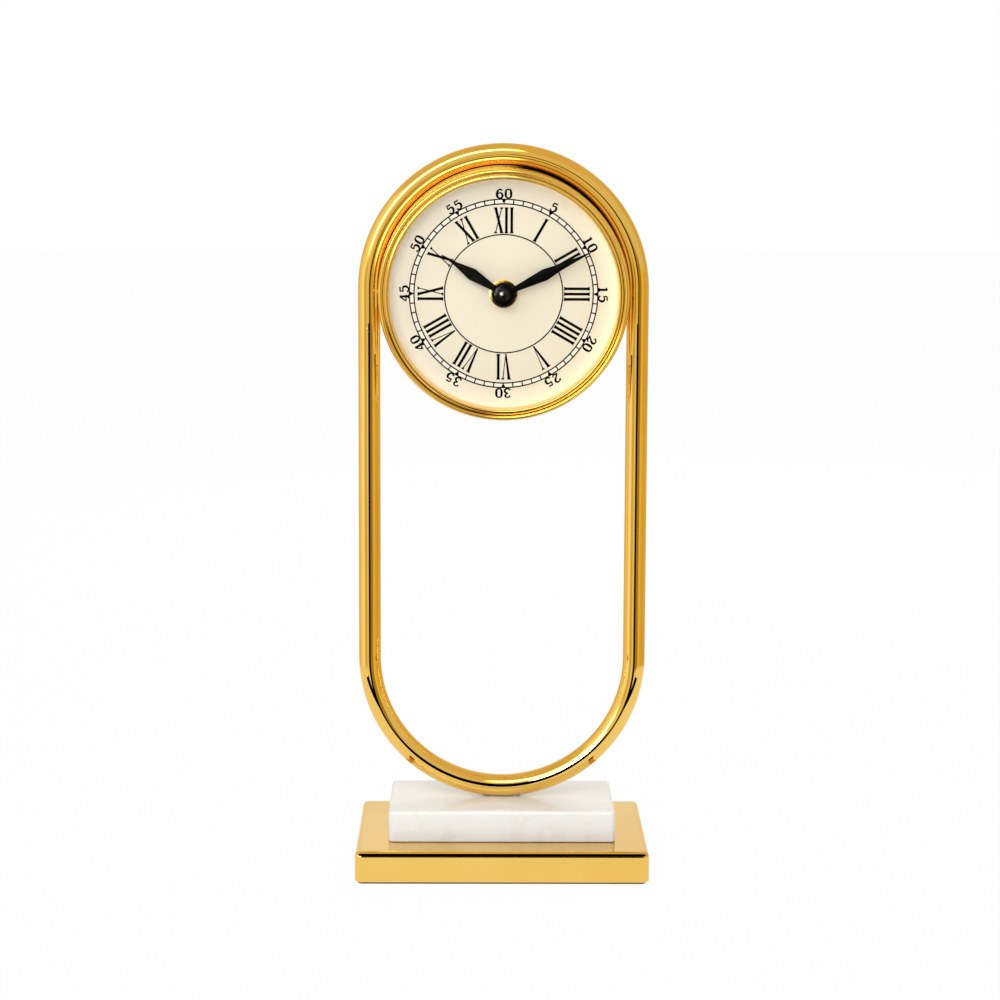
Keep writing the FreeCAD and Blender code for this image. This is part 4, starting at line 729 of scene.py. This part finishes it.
def makeCards():                                           # cards that only polished pieces show
    cards = {"baseFlag": [(-0.15, -0.160, 0.052), (0.15, -0.160, 0.052), (0.15, -0.064, 0.066),
                          (-0.15, -0.064, 0.066)],
             "frontFlag": [(-0.35, -0.300, 0.001), (0.35, -0.300, 0.001), (0.35, -0.300, 0.262),
                           (-0.35, -0.300, 0.262)],
             "softCard": [(-0.48, -1.07, 0.20), (-0.14, -1.07, 0.20), (-0.14, -1.07, 0.56),
                          (-0.48, -1.07, 0.56)]}
    flag = {"across": ((-0.170, -0.155), (0.170, 0.185)), "rise": (0.32, 0.335)}
    glow = {"strength": 38.0, "panes": (0.5, 1.5)}
    for name, corners in cards.items():
        s = newSheet(name)
        clear = s.node("BsdfTransparent")["BSDF"]
        shader = s.emission(black, 0.0)
        if name == "frontFlag":                            # dark only for rays that go nearly straight out
            x, y, z = s.apart(s.node("NewGeometry")["Incoming"])
            across, rise = (0.0 - x) / y, (0.0 - z) / y    # the ray's slopes
            share = s.inside(across, *flag["across"]) * (1.0 - s.between(rise, *flag["rise"]))
            shader = s.blended(share, clear, shader)
        elif name == "softCard":                           # seen only through the clock's glass
            share = s.between(s.node("LightPath")["Transparent Depth"], *glow["panes"])
            shader = s.blended(share, clear, s.emission(white, glow["strength"]))
        bm = bmesh.new()
        bm.faces.new([bm.verts.new(corner) for corner in corners])
        piece = newPiece(bm, name, s.output(shader))
        piece.visible_camera = piece.visible_diffuse = False
        piece.visible_shadow = piece.visible_transmission = False


def makeLamps():
    lamps = {"key": {"place": (-0.75, -0.80, 1.05), "size": 0.60, "watts": 3.2, "aim": (0.0, 0.0, 0.20)},
             "front": {"place": (-0.20, -1.42, 0.92), "size": 1.00, "watts": 11.0, "aim": (0.0, 0.0, 0.22)},
             "rear": {"place": (0.40, 1.30, 0.90), "size": 1.00, "watts": 9.0, "aim": (0.0, 0.0, 0.20)},
             "fill": {"place": (0.95, -0.90, 0.60), "size": 0.80, "watts": 2.0, "aim": (0.0, 0.0, 0.20)}}
    for name, lamp in lamps.items():
        data = bpy.data.lights.new(name + "Lamp", "AREA")
        data.shape, data.size, data.energy = "SQUARE", lamp["size"], lamp["watts"]
        piece = bpy.data.objects.new(name + "Lamp", data)
        scene.collection.objects.link(piece)
        piece.location = lamp["place"]
        ray = Vector(lamp["aim"]) - Vector(lamp["place"])
        piece.rotation_euler = ray.to_track_quat("-Z", "Y").to_euler()
        piece.visible_glossy = False


makeFloor()
makeSurroundings()
makeCards()
makeLamps()
scene.view_settings.view_transform = "Standard"
print("studio set up")
